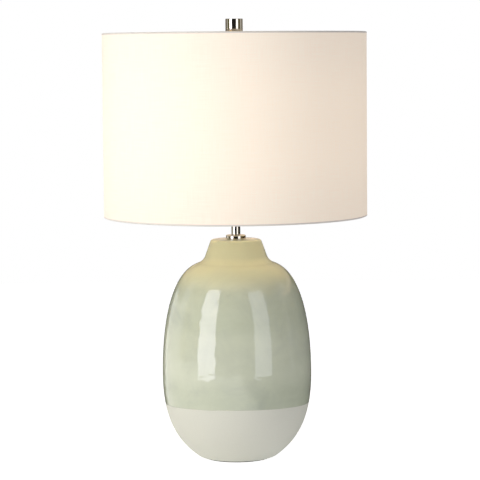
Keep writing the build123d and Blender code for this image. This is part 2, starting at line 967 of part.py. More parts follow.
def bulb_cap():
    """The bulb's screw cap: a thin brass shell with a wider collar on the glass."""
    base = bulb_base + bulb_contact_height + bulb_insulator_height
    top = base + bulb_cap_height
    collar = top - bulb_collar_height
    step = bulb_collar_radius - bulb_base_radius
    inner, outer = bulb_base_radius - bulb_cap_wall, bulb_collar_radius - bulb_cap_wall
    return turned_corners(
        (bulb_insulator_radius, base),
        (bulb_base_radius, base + bulb_base_radius - bulb_insulator_radius),
        (bulb_base_radius, collar - step),
        (bulb_collar_radius, collar),
        (bulb_collar_radius, top),
        (outer, top),
        (outer, collar),
        (inner, collar - step),
        (inner, base + bulb_base_radius - bulb_insulator_radius + bulb_cap_wall / 2),
        (bulb_insulator_radius - bulb_cap_wall / 2, base + bulb_cap_wall),
        (0, base + bulb_cap_wall),
        (0, base),
    )


def bulb_insulator():
    """The black glass between the cap and its contact."""
    base = bulb_base + bulb_contact_height
    top = base + bulb_insulator_height
    return turned_corners(
        (0, base), (bulb_contact_radius, base), (bulb_insulator_radius, top), (0, top)
    )


def bulb_contact():
    """The solder tip."""
    tip, top = (0, bulb_base), bulb_base + bulb_contact_height
    edge = (bulb_contact_radius, top)
    return turned(Polyline(tip, (0, top), edge), TangentArc(tip, edge, tangent=(1, 0)))


def bulb_envelope():
    """The opal glass: a neck that swells to a globe, one even thin wall."""
    collar_top = bulb_base + bulb_contact_height + bulb_insulator_height + bulb_cap_height
    start = collar_top - bulb_collar_height
    top = bulb_base + bulb_length
    centre = Vector(0, top - bulb_radius)
    neck = bulb_collar_radius - bulb_cap_wall - running_clearance
    # the throat's arc touches the neck's straight side and the globe
    apart = bulb_radius + bulb_throat
    drop = (apart**2 - (neck + bulb_throat) ** 2) ** 0.5
    throat = centre + Vector(neck + bulb_throat, -drop)
    meeting = (throat - centre).normalized()

    def side(inset):
        radius = bulb_radius - inset
        bend = throat - Vector(bulb_throat + inset, 0)
        joint = centre + meeting * radius
        return [
            Line((neck - inset, start), bend),
            TangentArc(bend, joint, tangent=(0, 1)),
            ThreePointArc(joint, centre + Vector(radius, 0), centre + Vector(0, radius)),
        ]

    inner_neck, inner_throat, inner_globe = side(bulb_wall)
    return turned(
        *side(0),
        inner_neck,
        coursed(inner_throat),
        coursed(inner_globe),
        Line((neck, start), (neck - bulb_wall, start)),
        Line((0, top), (0, top - bulb_wall)),
    )


jar = jar_body()

parts = {
    "foot_pad": foot_pad(),
    "jar_body": jar,
    "cord_bushing": cord_bushing(jar),
    "base_gasket": base_gasket(),
    "base_plate": base_plate(),
    "base_washer": base_washer(),
    "base_spring_washer": base_spring_washer(),
    "base_nut": hex_nut(base_nut_flats, base_nut_top - base_nut_thickness, base_nut_thickness),
    "threaded_rod": threaded_rod(),
    "neck_gasket": neck_gasket(),
    "neck_cap": neck_cap(),
    "neck_tube": neck_tube(),
    "harp_saddle": harp_saddle(),
    "saddle_nut": hex_nut(saddle_nut_flats, saddle_top, saddle_nut_thickness),
    "harp_bow": harp_bow(),
    "harp_sleeve_left": harp_sleeve(-1),
    "harp_sleeve_right": harp_sleeve(1),
    "harp_swivel": harp_swivel(),
    "shade_cover": shade_cover(),
    "shade_liner": shade_liner(),
    "shade_top_frame": shade_top_frame(),
    "shade_bottom_ring": shade_bottom_ring(),
    "finial": finial(),
    "socket_cap": socket_cap(),
    "socket_set_screw": socket_set_screw(),
    "socket_shell": socket_shell(),
    "socket_sleeve": socket_sleeve(),
    "socket_body": socket_body(),
    "terminal_screws": terminal_screws(),
    "screw_shell": screw_shell(),
    "centre_contact": centre_contact(),
    "switch_spindle": switch_spindle(),
    "switch_knob": switch_knob(),
    "bulb_cap": bulb_cap(),
    "bulb_insulator": bulb_insulator(),
    "bulb_contact": bulb_contact(),
    "bulb_envelope": bulb_envelope(),
}

os.makedirs("parts", exist_ok=True)
for name, solid in parts.items():
    export_step(solid, f"parts/{name}.step")
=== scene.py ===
"""Looks of a ginger jar lamp: a part-glazed stoneware jar, nickel fittings and a lit linen drum.

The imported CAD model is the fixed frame. Soft, glossy and glazed pieces are worked out again here as
smooth surfaces of revolution, the bent and stamped metal pieces take their form from the CAD nodes,
and every surface gets a material built from nodes. Lengths are in metres, the lamp stands on z = 0
and the camera looks along +Y.
"""

import json
import logging
from dataclasses import dataclass, field
from enum import Enum
from math import asin, cos, pi, radians, sin, sqrt
from typing import Any

import bmesh
import bpy
import numpy as np
from bpy.types import ID, Material, Mesh, Node, NodeTree, Object
from mathutils import Matrix, Vector


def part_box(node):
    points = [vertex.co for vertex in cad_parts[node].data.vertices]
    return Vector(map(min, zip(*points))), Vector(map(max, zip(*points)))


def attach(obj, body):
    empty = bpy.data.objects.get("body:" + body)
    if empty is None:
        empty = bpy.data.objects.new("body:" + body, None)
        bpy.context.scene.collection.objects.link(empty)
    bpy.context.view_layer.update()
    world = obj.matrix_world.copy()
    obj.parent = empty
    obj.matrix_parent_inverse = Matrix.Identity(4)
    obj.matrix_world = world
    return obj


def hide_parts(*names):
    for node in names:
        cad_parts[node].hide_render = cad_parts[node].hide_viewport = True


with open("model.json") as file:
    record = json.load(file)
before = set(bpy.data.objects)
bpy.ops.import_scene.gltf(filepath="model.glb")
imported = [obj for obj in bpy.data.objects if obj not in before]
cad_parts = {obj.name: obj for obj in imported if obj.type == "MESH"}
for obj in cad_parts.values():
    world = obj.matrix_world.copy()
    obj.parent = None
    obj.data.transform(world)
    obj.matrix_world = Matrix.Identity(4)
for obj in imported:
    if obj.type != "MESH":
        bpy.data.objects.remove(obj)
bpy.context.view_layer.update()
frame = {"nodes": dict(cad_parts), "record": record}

LOG = logging.getLogger("ginger_jar_lamp")
MM = 0.001
# the setting of a range whose ends are eased
EASED = {"interpolation_type": "SMOOTHSTEP"}

Link = Node | tuple[Node, str]
Colour = tuple[float, float, float, float]


# ---------------------------------------------------------------- colour and nodes


def linear(code: str) -> Colour:
    """The linear colour of an sRGB hex code.

    Args:
        code: Six hex digits.

    Returns:
        Red, green, blue and an alpha of 1, by the sRGB transfer curve.
    """
    parts = [int(code[start : start + 2], 16) / 255 for start in (0, 2, 4)]
    red, green, blue = (
        part / 12.92 if part <= 0.04045 else ((part + 0.055) / 1.055) ** 2.4 for part in parts
    )
    return red, green, blue, 1.0


def add_node(
    tree: NodeTree, kind: str, settings: dict[str | int, Any] | None = None, **links: Link
) -> Node:
    """Adds a node with its settings and its links.

    Args:
        tree: The tree that gets the node.
        kind: The node's type name, without ShaderNode before it.
        settings: Attribute names and values, and socket names or numbers and values.
        links: Socket name, with spaces as underscores or as "in" and a number, to the node whose
            first output it takes, or to (node, output).

    Returns:
        The new node.
    """
    node = tree.nodes.new(f"ShaderNode{kind}")
    for name, value in (settings or {}).items():
        if isinstance(name, int) or name in node.inputs:
            node.inputs[name].default_value = value
        else:
            setattr(node, name, value)
    for name, link in links.items():
        if isinstance(link, tuple):
            output = link[0].outputs[link[1]]
        else:
            output = next(socket for socket in link.outputs if socket.enabled)
        place = int(name[2:]) if name[2:].isdigit() else name.replace("_", " ")
        tree.links.new(output, node.inputs[place])
    return node


def new_tree(name: str) -> tuple[Material, NodeTree]:
    """Starts a node material.

    Args:
        name: The material's name.

    Returns:
        The material and its empty tree.
    """
    material = bpy.data.materials.new(name)
    material.use_nodes = True
    material.node_tree.nodes.clear()
    return material, material.node_tree


# ---------------------------------------------------------------- finishes


class Grain(Enum):
    """How a plain surface was made, which sets the pattern of its unevenness."""

    MOULDED = (1.0, 1.0, 1.0)
    TURNED = (1.0, 1.0, 14.0)
    DRAWN = (6.0, 6.0, 0.6)


@dataclass(frozen=True)
class PlainFinish:
    """A metal, plastic, rubber, card or cork surface: two close tones over one grain.

    Attributes:
        name: What the material is and how its surface was made.
        tones: sRGB codes of the darker and lighter tone.
        grain_mm: Size of the grain.
        relief_mm: Height of the grain.
        roughness: Lowest and highest roughness over the grain.
        metallic: 1 for bare metal.
        making: The direction of the grain.
        sheen: Weight of the fuzz on felt and card.
        glow: Strength of the light that the surface gives off: the lit bulb's own on its glass,
        painted light from the bulb on the liner.
    """

    name: str
    tones: tuple[str, str]
    grain_mm: float
    relief_mm: float
    roughness: tuple[float, float]
    metallic: float = 0.0
    making: Grain = Grain.MOULDED
    sheen: float = 0.0
    glow: float = 0.0

    def material(self) -> Material:
        """Makes the finish, where noise on Object coordinates drives tone, roughness and relief.

        Returns:
            The node material.
        """
        material, tree = new_tree(self.name)
        dark, light = (linear(tone) for tone in self.tones)
        place = add_node(tree, "TexCoord")
        grain = add_node(tree, "Mapping", {"Scale": self.making.value}, Vector=(place, "Object"))
        fine = {"Scale": 1 / (self.grain_mm * MM), "Detail": 4.0, "Roughness": 0.6}
        cloud = add_node(tree, "TexNoise", fine, Vector=grain)
        tone = add_node(tree, "Mix", {"data_type": "RGBA", 6: dark, 7: light}, in0=cloud)
        span = {"From Min": 0.3, "From Max": 0.7, 3: self.roughness[0], 4: self.roughness[1]}
        rough = add_node(tree, "MapRange", span, in0=cloud)
        height = {"Strength": 0.6, "Distance": self.relief_mm * MM}
        relief = add_node(tree, "Bump", height, Height=cloud)
        shader = {
            "Metallic": self.metallic,
            "Sheen Weight": self.sheen,
            "Emission Color": light,
            "Emission Strength": self.glow,
        }
        surface = add_node(
            tree, "BsdfPrincipled", shader, Base_Color=tone, Roughness=rough, Normal=relief
        )
        add_node(tree, "OutputMaterial", Surface=surface)
        return material


# Polished nickel plate: bright, slightly warm grey, with hairline polishing marks round the piece.
NICKEL = PlainFinish(
    "polished_nickel_plate", ("c6beb0", "d4cdc0"), 1.5, 0.002, (0.05, 0.11), 1.0, Grain.TURNED
)
# Zinc-plated steel: bluish grey with a soft, cloudy spangle.
ZINC = PlainFinish("zinc_plated_steel", ("9a9ea3", "b9bcc0"), 3.0, 0.01, (0.28, 0.46), 1.0)
# Brass strip and turned brass: yellow, a little dulled by handling.
BRASS = PlainFinish(
    "drawn_brass", ("b08a45", "cfa860"), 2.0, 0.006, (0.2, 0.34), 1.0, Grain.DRAWN
)
# Drawn aluminium: pale grey with fine lines along the draw.
ALUMINIUM = PlainFinish(
    "drawn_aluminium", ("b9babc", "cfd0d2"), 1.2, 0.006, (0.22, 0.36), 1.0, Grain.DRAWN
)
# Tin-lead solder: dull grey, uneven where it set.
SOLDER = PlainFinish("set_solder", ("8d8e90", "aeb0b2"), 1.5, 0.05, (0.35, 0.55), 1.0)
# Steel wire with baked white enamel: smooth, thick, slightly warm.
ENAMEL = PlainFinish("white_enamelled_wire", ("dcd8ce", "ebe8e0"), 4.0, 0.02, (0.26, 0.36))
# Moulded phenolic: near black with a soft gloss.
PHENOLIC = PlainFinish("moulded_phenolic", ("14100e", "211b18"), 5.0, 0.01, (0.2, 0.32))
# Moulded rubber: black, satin, faintly dusty.
RUBBER = PlainFinish("moulded_rubber", ("151515", "262523"), 1.2, 0.03, (0.5, 0.68))
# Bonded cork: brown granules of about 1.5 mm.
CORK = PlainFinish("bonded_cork", ("7a5a38", "b08a5c"), 1.5, 0.12, (0.75, 0.9))
# Soft clear washer: milky and waxy.
WASHER = PlainFinish("soft_clear_washer", ("b9b6ac", "cbc8be"), 3.0, 0.01, (0.35, 0.5))
# Varnished insulating card: brown, with fibres that show under the varnish.
CARD = PlainFinish("varnished_card", ("4a3826", "6a5238"), 1.0, 0.04, (0.45, 0.62), sheen=0.1)
# Pressed wool felt: dark grey, matted fibres, a soft fuzz.
FELT = PlainFinish("pressed_wool_felt", ("26231f", "3d3934"), 0.9, 0.3, (0.9, 1.0), sheen=0.5)
# Black vitrite glass: glossy, fused round the contact.
VITRITE = PlainFinish("black_vitrite_glass", ("0a0a0b", "151517"), 4.0, 0.01, (0.08, 0.16))
# Opal glass, lit: a white even skin.
OPAL = PlainFinish("lit_opal_glass", ("dfd2b8", "eddebf"), 8.0, 0.004, (0.12, 0.2), glow=0.42)
# White styrene sheet, matt inside the shade: its glow, and the warmth of its tones, are painted
# light from the bulb.
STYRENE = PlainFinish(
    "white_styrene_sheet_painted_glow", ("efe6d2", "f9f0dc"), 6.0, 0.01, (0.5, 0.62), glow=0.15
)


@dataclass(frozen=True)
class CeladonOverBareClay:
    """Stoneware dipped in celadon glaze down to an uneven line, with bare smoothed clay below.

    The glaze is a glassy skin whose colour drifts in soft bands from the brush and the kiln.
    It is warmer towards the shoulder, partly where it runs thin and partly as painted warm light
    from the bulb above, and it is paler in a belt a little above the jar's widest. The clay is
    matt, with a fine grain.

    Attributes:
        line: Height of the glaze's edge, which is soft over line_edge to each side, wanders by
            line_wander over line_wave and hangs lower at the two sides by line_bow times X squared.
        thin_and_painted_from: Height where the warmer tone starts, partly thin glaze and partly
        painted warm light from the bulb; it has its whole share at thin_and_painted_to.
        belt_level: Middle of the pale belt, which is whole to belt_core on each side of it and
            gone at belt_reach.
        cloud: Size of the small clouds in the glaze.
        band: Length and height of its level bands.
        tone_span: Levels of clouds and bands together that give the dark and the light tone.
        blush: Size of the large grey clouds, which come in over blush_span of their noise.
        ripple: Depth of the glaze's unevenness, from the bands and, by dimple_share, from dimples.
        grit: Size of the clay's grain, which stands out by grain.
    """

    glaze_dark: str = "bfc6b2"
    glaze_light: str = "ced4c1"
    glaze_grey: str = "afb6ab"
    # warm tone over the shoulder: thin glaze, and painted warm light from the bulb
    thin_glaze_and_painted_light: str = "d9d8b2"
    glaze_pale_belt: str = "dce0cd"
    clay_dark: str = "d5d5cb"
    clay_light: str = "e2e3d9"
    glaze_roughness: float = 0.045
    clay_roughness: float = 0.78
    glaze_ior: float = 1.58
    line: float = 84.9 * MM
    line_bow: float = 0.36
    line_wander: float = 3.0 * MM
    line_wave: float = 1000 / 14 * MM
    line_edge: float = 0.5 * MM
    thin_and_painted_from: float = 240.0 * MM
    thin_and_painted_to: float = 285.0 * MM
    thin_and_painted_share: float = 0.9
    belt_level: float = 154.0 * MM
    belt_core: float = 20.0 * MM
    belt_reach: float = 54.0 * MM
    belt_share: float = 0.4
    cloud: float = 1000 / 26 * MM
    cloud_share: float = 0.5
    band: tuple[float, float] = (1000 / 11.2 * MM, 1000 / 42 * MM)
    band_share: float = 0.55
    tone_shift: float = -0.02
    tone_span: tuple[float, float] = (0.3, 0.7)
    blush: float = 1000 / 13 * MM
    blush_span: tuple[float, float] = (0.44, 0.72)
    blush_share: float = 0.6
    ripple: float = 0.5 * MM
    dimple: float = 12.0 * MM
    dimple_share: float = 0.7
    grit: float = 10 / 9 * MM
    grain: float = 0.04 * MM

    def material(self) -> Material:
        """Makes the finish, with heights and patterns read from Object coordinates.

        Returns:
            The node material.
        """
        material, tree = new_tree("celadon_glaze_over_bare_stoneware")
        place = (add_node(tree, "TexCoord"), "Object")
        axes = add_node(tree, "SeparateXYZ", Vector=place)
        height = (axes, "Z")
        wander, clouds, blush, grit, dimples = (
            add_node(
                tree,
                "TexNoise",
                {"Scale": 1 / size, "Detail": detail, "Roughness": fray, "Distortion": stir},
                Vector=place,
            )
            for size, detail, fray, stir in (
                (self.line_wave, 2.0, 0.5, 0.0),
                (self.cloud, 5.0, 0.6, 0.5),
                (self.blush, 6.0, 0.62, 0.5),
                (self.grit, 6.0, 0.7, 0.0),
                (self.dimple, 1.0, 0.5, 0.0),
            )
        )

        # height above the glaze's edge, which wanders by a slow noise and hangs lower at the sides
        wide = self.line_wander
        drop = {"operation": "MULTIPLY_ADD", 1: wide, 2: -self.line - wide / 2}
        drift = add_node(tree, "Math", drop, in0=wander)
        aside = add_node(tree, "Math", {"operation": "MULTIPLY"}, in0=(axes, "X"), in1=(axes, "X"))
        bow = {"operation": "MULTIPLY_ADD", 1: self.line_bow}
        hung = add_node(tree, "Math", bow, in0=aside, in2=drift)
        above = add_node(tree, "Math", {"operation": "ADD"}, in0=height, in1=hung)
        edge = {**EASED, "From Min": -self.line_edge, "From Max": self.line_edge}
        glazed = add_node(tree, "MapRange", edge, Value=above)

        # the glaze's own two tones, from small clouds and level bands
        length, rise = self.band
        flattened = {"Scale": (1 / length, 1 / length, 1 / rise)}
        level = add_node(tree, "Mapping", flattened, Vector=place)
        bands = add_node(tree, "TexNoise", {"Scale": 1.0, "Detail": 3.0}, Vector=level)
        cloudy = {"operation": "MULTIPLY_ADD", 1: self.cloud_share, 2: self.tone_shift}
        clouded = add_node(tree, "Math", cloudy, in0=clouds)
        banded = {"operation": "MULTIPLY_ADD", 1: self.band_share}
        mottle = add_node(tree, "Math", banded, in0=bands, in2=clouded)
        low, high = self.tone_span
        tone = add_node(tree, "MapRange", {"From Min": low, "From Max": high}, Value=mottle)
        tones = {"data_type": "RGBA", 6: linear(self.glaze_dark), 7: linear(self.glaze_light)}
        glaze = add_node(tree, "Mix", tones, in0=tone)

        # over them, each by its own share: large grey clouds, the pale belt, and over the shoulder
        # the warm tone of thin glaze with painted warm light from the bulb
        off = {"operation": "SUBTRACT", 1: self.belt_level}
        off_level = add_node(tree, "Math", off, in0=height)
        apart = add_node(tree, "Math", {"operation": "ABSOLUTE"}, in0=off_level)
        for source, start, end, from_share, to_share, colour in (
            (blush, *self.blush_span, 0.0, self.blush_share, self.glaze_grey),
            (apart, self.belt_core, self.belt_reach, self.belt_share, 0.0, self.glaze_pale_belt),
            (height, self.thin_and_painted_from, self.thin_and_painted_to, 0.0, self.thin_and_painted_share, self.thin_glaze_and_painted_light),
        ):
            span = {**EASED, "From Min": start, "From Max": end, 3: from_share, 4: to_share}
            share = add_node(tree, "MapRange", span, Value=source)
            over = {"data_type": "RGBA", 7: linear(colour)}
            glaze = add_node(tree, "Mix", over, in0=share, in6=glaze)

        # clay colour, and which of the two shows
        clays = {"data_type": "RGBA", 6: linear(self.clay_dark), 7: linear(self.clay_light)}
        clay = add_node(tree, "Mix", clays, in0=grit)
        skin = add_node(tree, "Mix", {"data_type": "RGBA"}, in0=glazed, in6=clay, in7=glaze)
        gloss = {3: self.clay_roughness, 4: self.glaze_roughness}
        rough = add_node(tree, "MapRange", gloss, Value=glazed)

        # relief: the glaze's own step, its slow ripple from throwing, and the clay's grain
        dimpled = {"operation": "MULTIPLY_ADD", 1: self.dimple_share}
        ripple = add_node(tree, "Math", dimpled, in0=dimples, in2=bands)
        fine = {"operation": "MULTIPLY", 1: self.grain / self.ripple}
        grains = add_node(tree, "Math", fine, in0=grit)
        form = add_node(tree, "Mix", in0=glazed, in2=grains, in3=ripple)
        relief = add_node(tree, "Bump", {"Strength": 1.0, "Distance": self.ripple}, Height=form)
        ior = {"IOR": self.glaze_ior}
        surface = add_node(
            tree, "BsdfPrincipled", ior, Base_Color=skin, Roughness=rough, Normal=relief
        )
        add_node(tree, "OutputMaterial", Surface=surface)
        return material


@dataclass(frozen=True)
class DrumLinen:
    """Off-white plain-weave linen on a lit shade.

    Threads run round and up the drum, with slubs where a thread is thicker. The bulb's light
    through the cloth is painted as a warm glow everywhere but at the doubled edges, which are
    greyer. The real thread pitch of about 0.5 mm is too fine for the render, so the weave is drawn
    at three times that.

    Attributes:
        cloth_length: Length of the cloth from hem end to hem end, which the UV map's V covers.
        hem: Length of cloth between a hem's end and its rim.
        edge: Width at each rim where no glow is painted; past it the painted glow comes in over
        edge_fade.
        pitch: Distance between drawn threads.
        slub: Length and width of a slub.
        relief: Height of the weave.
        tone_span: Levels of weave and slubs together that give the gap's and the thread's tone.
        rim_share: Share of the painted glow that is left at the rims.
    """

    cloth_length: float
    hem: float
    edge: float = 2.6 * MM
    edge_fade: float = 1.0 * MM
    pitch: float = 1.5 * MM
    slub: tuple[float, float] = (100 / 3 * MM, 10 / 9 * MM)
    relief: float = 0.15 * MM
    weave_share: float = 0.45
    tone_span: tuple[float, float] = (0.7, 1.6)
    thread: str = "dfdeda"
    gap: str = "d5d3cd"
    rim: str = "e1dbd5"
    # colour and strength of the glow painted on the cloth for the bulb's light through it
    light: str = "ffdfbb"
    painted_glow_strength: float = 0.41
    rim_share: float = 0.85

    def material(self) -> Material:
        """Makes the finish; its UV map holds metres round the drum and along the cloth.

        Returns:
            The node material.
        """
        material, tree = new_tree("plain_weave_linen_painted_glow")
        cloth = add_node(tree, "UVMap", {"uv_map": "cloth"})
        axes = add_node(tree, "SeparateXYZ", Vector=cloth)
        # a band pattern repeats every 2 pi / 20 units at a scale of 1
        uneven = {"Scale": 2 * pi / 20 / self.pitch, "Distortion": 1.2, "Detail": 2.0}
        warp, weft = (
            add_node(tree, "TexWave", {"bands_direction": way, **uneven}, Vector=cloth)
            for way in ("X", "Y")
        )
        product, total = {"operation": "MULTIPLY"}, {"operation": "ADD"}
        weave = add_node(tree, "Math", product, in0=(warp, "Fac"), in1=(weft, "Fac"))
        slubs = []
        for long, wide in (self.slub, self.slub[::-1]):
            along = add_node(tree, "Mapping", {"Scale": (1 / long, 1 / wide, 1.0)}, Vector=cloth)
            slubs.append(add_node(tree, "TexNoise", {"Scale": 1.0, "Detail": 3.0}, Vector=along))
        slub = add_node(tree, "Math", total, in0=slubs[0], in1=slubs[1])
        woven = {"operation": "MULTIPLY_ADD", 1: self.weave_share}
        tone = add_node(tree, "Math", woven, in0=weave, in2=slub)
        low, high = self.tone_span
        shade = add_node(tree, "MapRange", {"From Min": low, "From Max": high}, Value=tone)
        tones = {"data_type": "RGBA", 6: linear(self.gap), 7: linear(self.thread)}
        linen = add_node(tree, "Mix", tones, in0=shade)

        # distance from the middle of the cloth, to tell hem and rim from the wall
        centre = {"operation": "SUBTRACT", 1: self.cloth_length / 2}
        middle = add_node(tree, "Math", centre, in0=(axes, "Y"))
        away = add_node(tree, "Math", {"operation": "ABSOLUTE"}, in0=middle)
        rim_at = self.cloth_length / 2 - self.hem
        wall_at = rim_at - self.edge
        span = {**EASED, "From Min": wall_at, "From Max": wall_at - self.edge_fade}
        wall = add_node(tree, "MapRange", span, Value=away)
        rims = {"data_type": "RGBA", 6: linear(self.rim)}
        colour = add_node(tree, "Mix", rims, in0=wall, in7=linen)
        # the painted glow falls off towards the rims, further from the bulb
        bright, dim = self.painted_glow_strength, self.painted_glow_strength * self.rim_share
        fall = {**EASED, "From Min": rim_at, "From Max": rim_at / 4, 3: dim, 4: bright}
        falling = add_node(tree, "MapRange", fall, Value=away)
        lit = add_node(tree, "Math", product, in0=falling, in1=wall)
        relief = add_node(tree, "Bump", {"Strength": 0.35, "Distance": self.relief}, Height=tone)
        surface = add_node(
            tree,
            "BsdfPrincipled",
            {"Roughness": 0.85, "Sheen Weight": 0.08, "Emission Color": linear(self.light)},
            Base_Color=colour,
            Emission_Strength=lit,
            Normal=relief,
        )
        add_node(tree, "OutputMaterial", Surface=surface)
        return material


# ---------------------------------------------------------------- outlines and surfaces


def bezier(points: list[tuple[float, float]], count: int) -> np.ndarray:
    """A cubic Bezier curve: its points weigh (1-t)^3, 3t(1-t)^2, 3t^2(1-t) and t^3.

    Args:
        points: Start, the two handles' ends, and end.
        count: Points on the curve.

    Returns:
        The curve's points.
    """
    share = np.linspace(0, 1, count)[:, None]
    start, first, second, end = (np.array(point) for point in points)
    back = 1 - share
    return (
        back**3 * start
        + 3 * share * back**2 * first
        + 3 * share**2 * back * second
        + share**3 * end
    )


def arc(
    centre: tuple[float, float], radius: float, ends: tuple[float, float], count: int
) -> np.ndarray:
    """Points at centre + radius (cos a, sin a) for even steps of the angle a.

    Args:
        centre: The arc's centre.
        radius: Its radius.
        ends: Its first and last angle.
        count: Points on it.

    Returns:
        The arc's points.
    """
    angle = np.linspace(*ends, count)
    return np.array(centre) + radius * np.column_stack((np.cos(angle), np.sin(angle)))


def rounded(corners: list[tuple[float, float, float]], count: int = 6) -> np.ndarray:
    """A closed outline of straight sides whose corners are rounded.

    Each corner with a radius becomes a quadratic curve from radius before it to radius after it.

    Args:
        corners: (distance from the axis, height, radius) of each corner.
        count: Points on each rounded corner.

    Returns:
        The outline's points.
    """
    share = np.linspace(0, 1, count)[:, None]
    back = 1 - share
    pieces = []
    for number, (x, z, radius) in enumerate(corners):
        here = np.array((x, z))
        if radius == 0:
            pieces.append(here[None, :])
            continue
        ends = []
        for step in (-1, 1):
            side = np.array(corners[(number + step) % len(corners)][:2]) - here
            ends.append(here + side * radius / np.linalg.norm(side))
        pieces.append(back**2 * ends[0] + 2 * share * back * here + share**2 * ends[1])
    return np.concatenate(pieces)


def even_turn(count: int) -> np.ndarray:
    """Evenly spaced angles over one turn."""
    return np.arange(count) * 2 * pi / count


def across(path: np.ndarray) -> np.ndarray:
    """Unit vectors square to a path, on the right of its way."""
    along = np.gradient(path, axis=0)
    return np.column_stack((along[:, 1], -along[:, 0])) / np.linalg.norm(along, axis=1)[:, None]


def placed(name: str, data: ID) -> Object:
    """Puts a new object in the scene, at the origin.

    Args:
        name: The object's name.
        data: Its mesh, light or camera.

    Returns:
        The object.
    """
    thing = bpy.data.objects.new(name, data)
    bpy.context.scene.collection.objects.link(thing)
    return thing


def smooth_object(mesh: Mesh, crease: float) -> Object:
    """An object for a mesh, shaded smooth but for its sharp edges.

    Args:
        mesh: The mesh, which gives the object its name.
        crease: Angle in degrees past which an edge stays sharp.

    Returns:
        The object.
    """
    mesh.polygons.foreach_set("use_smooth", np.ones(len(mesh.polygons), dtype=bool))
    mesh.set_sharp_from_angle(angle=radians(crease))
    return placed(mesh.name, mesh)


def mesh_object(
    name: str, points: np.ndarray, faces: list[list[int]], crease: float = 35.0
) -> Object:
    """An object from points and faces.

    Args:
        name: The object's name.
        points: Its points.
        faces: The points' numbers round each face.
        crease: Angle in degrees past which an edge stays sharp.

    Returns:
        The object.
    """
    mesh = bpy.data.meshes.new(name)
    mesh.from_pydata(points.tolist(), [], faces)
    return smooth_object(mesh, crease)


def swept(outline: np.ndarray, angles: np.ndarray) -> np.ndarray:
    """The grid of points that an outline takes about the lamp's axis.

    The point (r, z) of the outline at angle a is (r cos a, r sin a, z).

    Args:
        outline: Distances from the axis and heights.
        angles: The angles.

    Returns:
        The points, by angle and by place on the outline.
    """
    radius, height = outline.T
    rings = (np.outer(np.cos(angles), radius), np.outer(np.sin(angles), radius))
    return np.stack((*rings, np.broadcast_to(height, rings[0].shape)), axis=-1)


def numbered(grid: np.ndarray, around: bool = False, along: bool = False) -> np.ndarray:
    """The numbers of a grid's points.

    Args:
        grid: The points, by angle and by place on the outline.
        around: Whether the first angle comes again after the last.
        along: Whether the outline's first point comes again after its last.

    Returns:
        The numbers, laid out as the grid is.
    """
    number = np.arange(grid[..., 0].size).reshape(grid.shape[:2])
    return np.pad(number, ((0, int(around)), (0, int(along))), mode="wrap")


def quads(number: np.ndarray) -> list[list[int]]:
    """The four-sided faces between neighbours in a grid of point numbers."""
    corners = (number[:-1, :-1], number[1:, :-1], number[1:, 1:], number[:-1, 1:])
    return np.stack(corners, axis=-1).reshape(-1, 4).tolist()


def turned(name: str, outline: np.ndarray, angles: np.ndarray, crease: float = 35.0) -> Object:
    """The surface that an outline sweeps in one turn about the lamp's axis.

    The outline runs with the solid on its left. It is a closed loop, or it starts and ends on the
    axis, where each end becomes one pole.

    Args:
        name: The piece's name.
        outline: Distances from the axis and heights.
        angles: Angles of the grid's columns, rising over one turn.
        crease: Angle in degrees past which an edge stays sharp.

    Returns:
        The piece.
    """
    poles = bool(outline[0, 0] == 0 and outline[-1, 0] == 0)
    grid = swept(outline[1:-1] if poles else outline, angles)
    number = numbered(grid, around=True, along=not poles)
    points, faces = grid.reshape(-1, 3), quads(number)
    if poles:
        first, last = number[:, 0], number[:, -1]
        low, high = (np.full(len(angles), len(points) + end) for end in (0, 1))
        points = np.concatenate((points, [(0, 0, outline[0, 1]), (0, 0, outline[-1, 1])]))
        faces += np.column_stack((low, first[1:], first[:-1])).tolist()
        faces += np.column_stack((last[:-1], last[1:], high)).tolist()
    return mesh_object(name, points, faces, crease)


def merged_copy(node: str, crease: float = 30.0) -> Object:
    """A copy of a CAD node with its loose triangles joined, so that it shades smoothly.

    Args:
        node: The node's name.
        crease: Angle in degrees past which an edge stays sharp.

    Returns:
        The copy.
    """
    work = bmesh.new()
    work.from_mesh(frame["nodes"][node].data)
    bmesh.ops.remove_doubles(work, verts=work.verts, dist=0.001 * MM)
    mesh = bpy.data.meshes.new(f"{node}_finished")
    work.to_mesh(mesh)
    work.free()
    mesh.materials.clear()
    return smooth_object(mesh, crease)


# ---------------------------------------------------------------- joining pieces to the frame


@dataclass
class Frame:
    """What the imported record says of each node: its body and its material slot."""

    bodies: dict[str, str] = field(default_factory=dict)
    slots: dict[str, str] = field(default_factory=dict)
    made: dict[PlainFinish, Material] = field(default_factory=dict)

    def __post_init__(self) -> None:
        """Reads the record."""
        record = frame["record"]
        for body, nodes in record["behaviour"]["bodies"].items():
            self.bodies.update({node: body for node in nodes})
        self.slots = {part["node"]: part["material_slot"] for part in record["subparts"]}

    def finish(self, finish: PlainFinish) -> Material:
        """The material of a plain finish, made once.

        Args:
            finish: The finish.

        Returns:
            Its material.
        """
        if finish not in self.made:
            self.made[finish] = finish.material()
        return self.made[finish]

    def stands_for(self, piece: Object, node: str, material: Material) -> None:
        """Dresses a piece, lets it ride on a node's body and hides the node.

        Args:
            piece: The piece.
            node: The node that it stands for.
            material: The piece's material.
        """
        piece.data.materials.append(material)
        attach(piece, self.bodies[node])
        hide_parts(node)
        LOG.info("%s stands for %s in %s", piece.name, node, material.name)

    def dress(self, node: str, material: Material) -> None:
        """Gives a CAD node that stays its material, on the object's own slots.

        Args:
            node: The node.
            material: Its material.
        """
        for slot in frame["nodes"][node].material_slots:
            slot.link = "OBJECT"
            slot.material = material
        LOG.info("%s keeps its CAD form in %s", node, material.name)


# ---------------------------------------------------------------- sub-assemblies


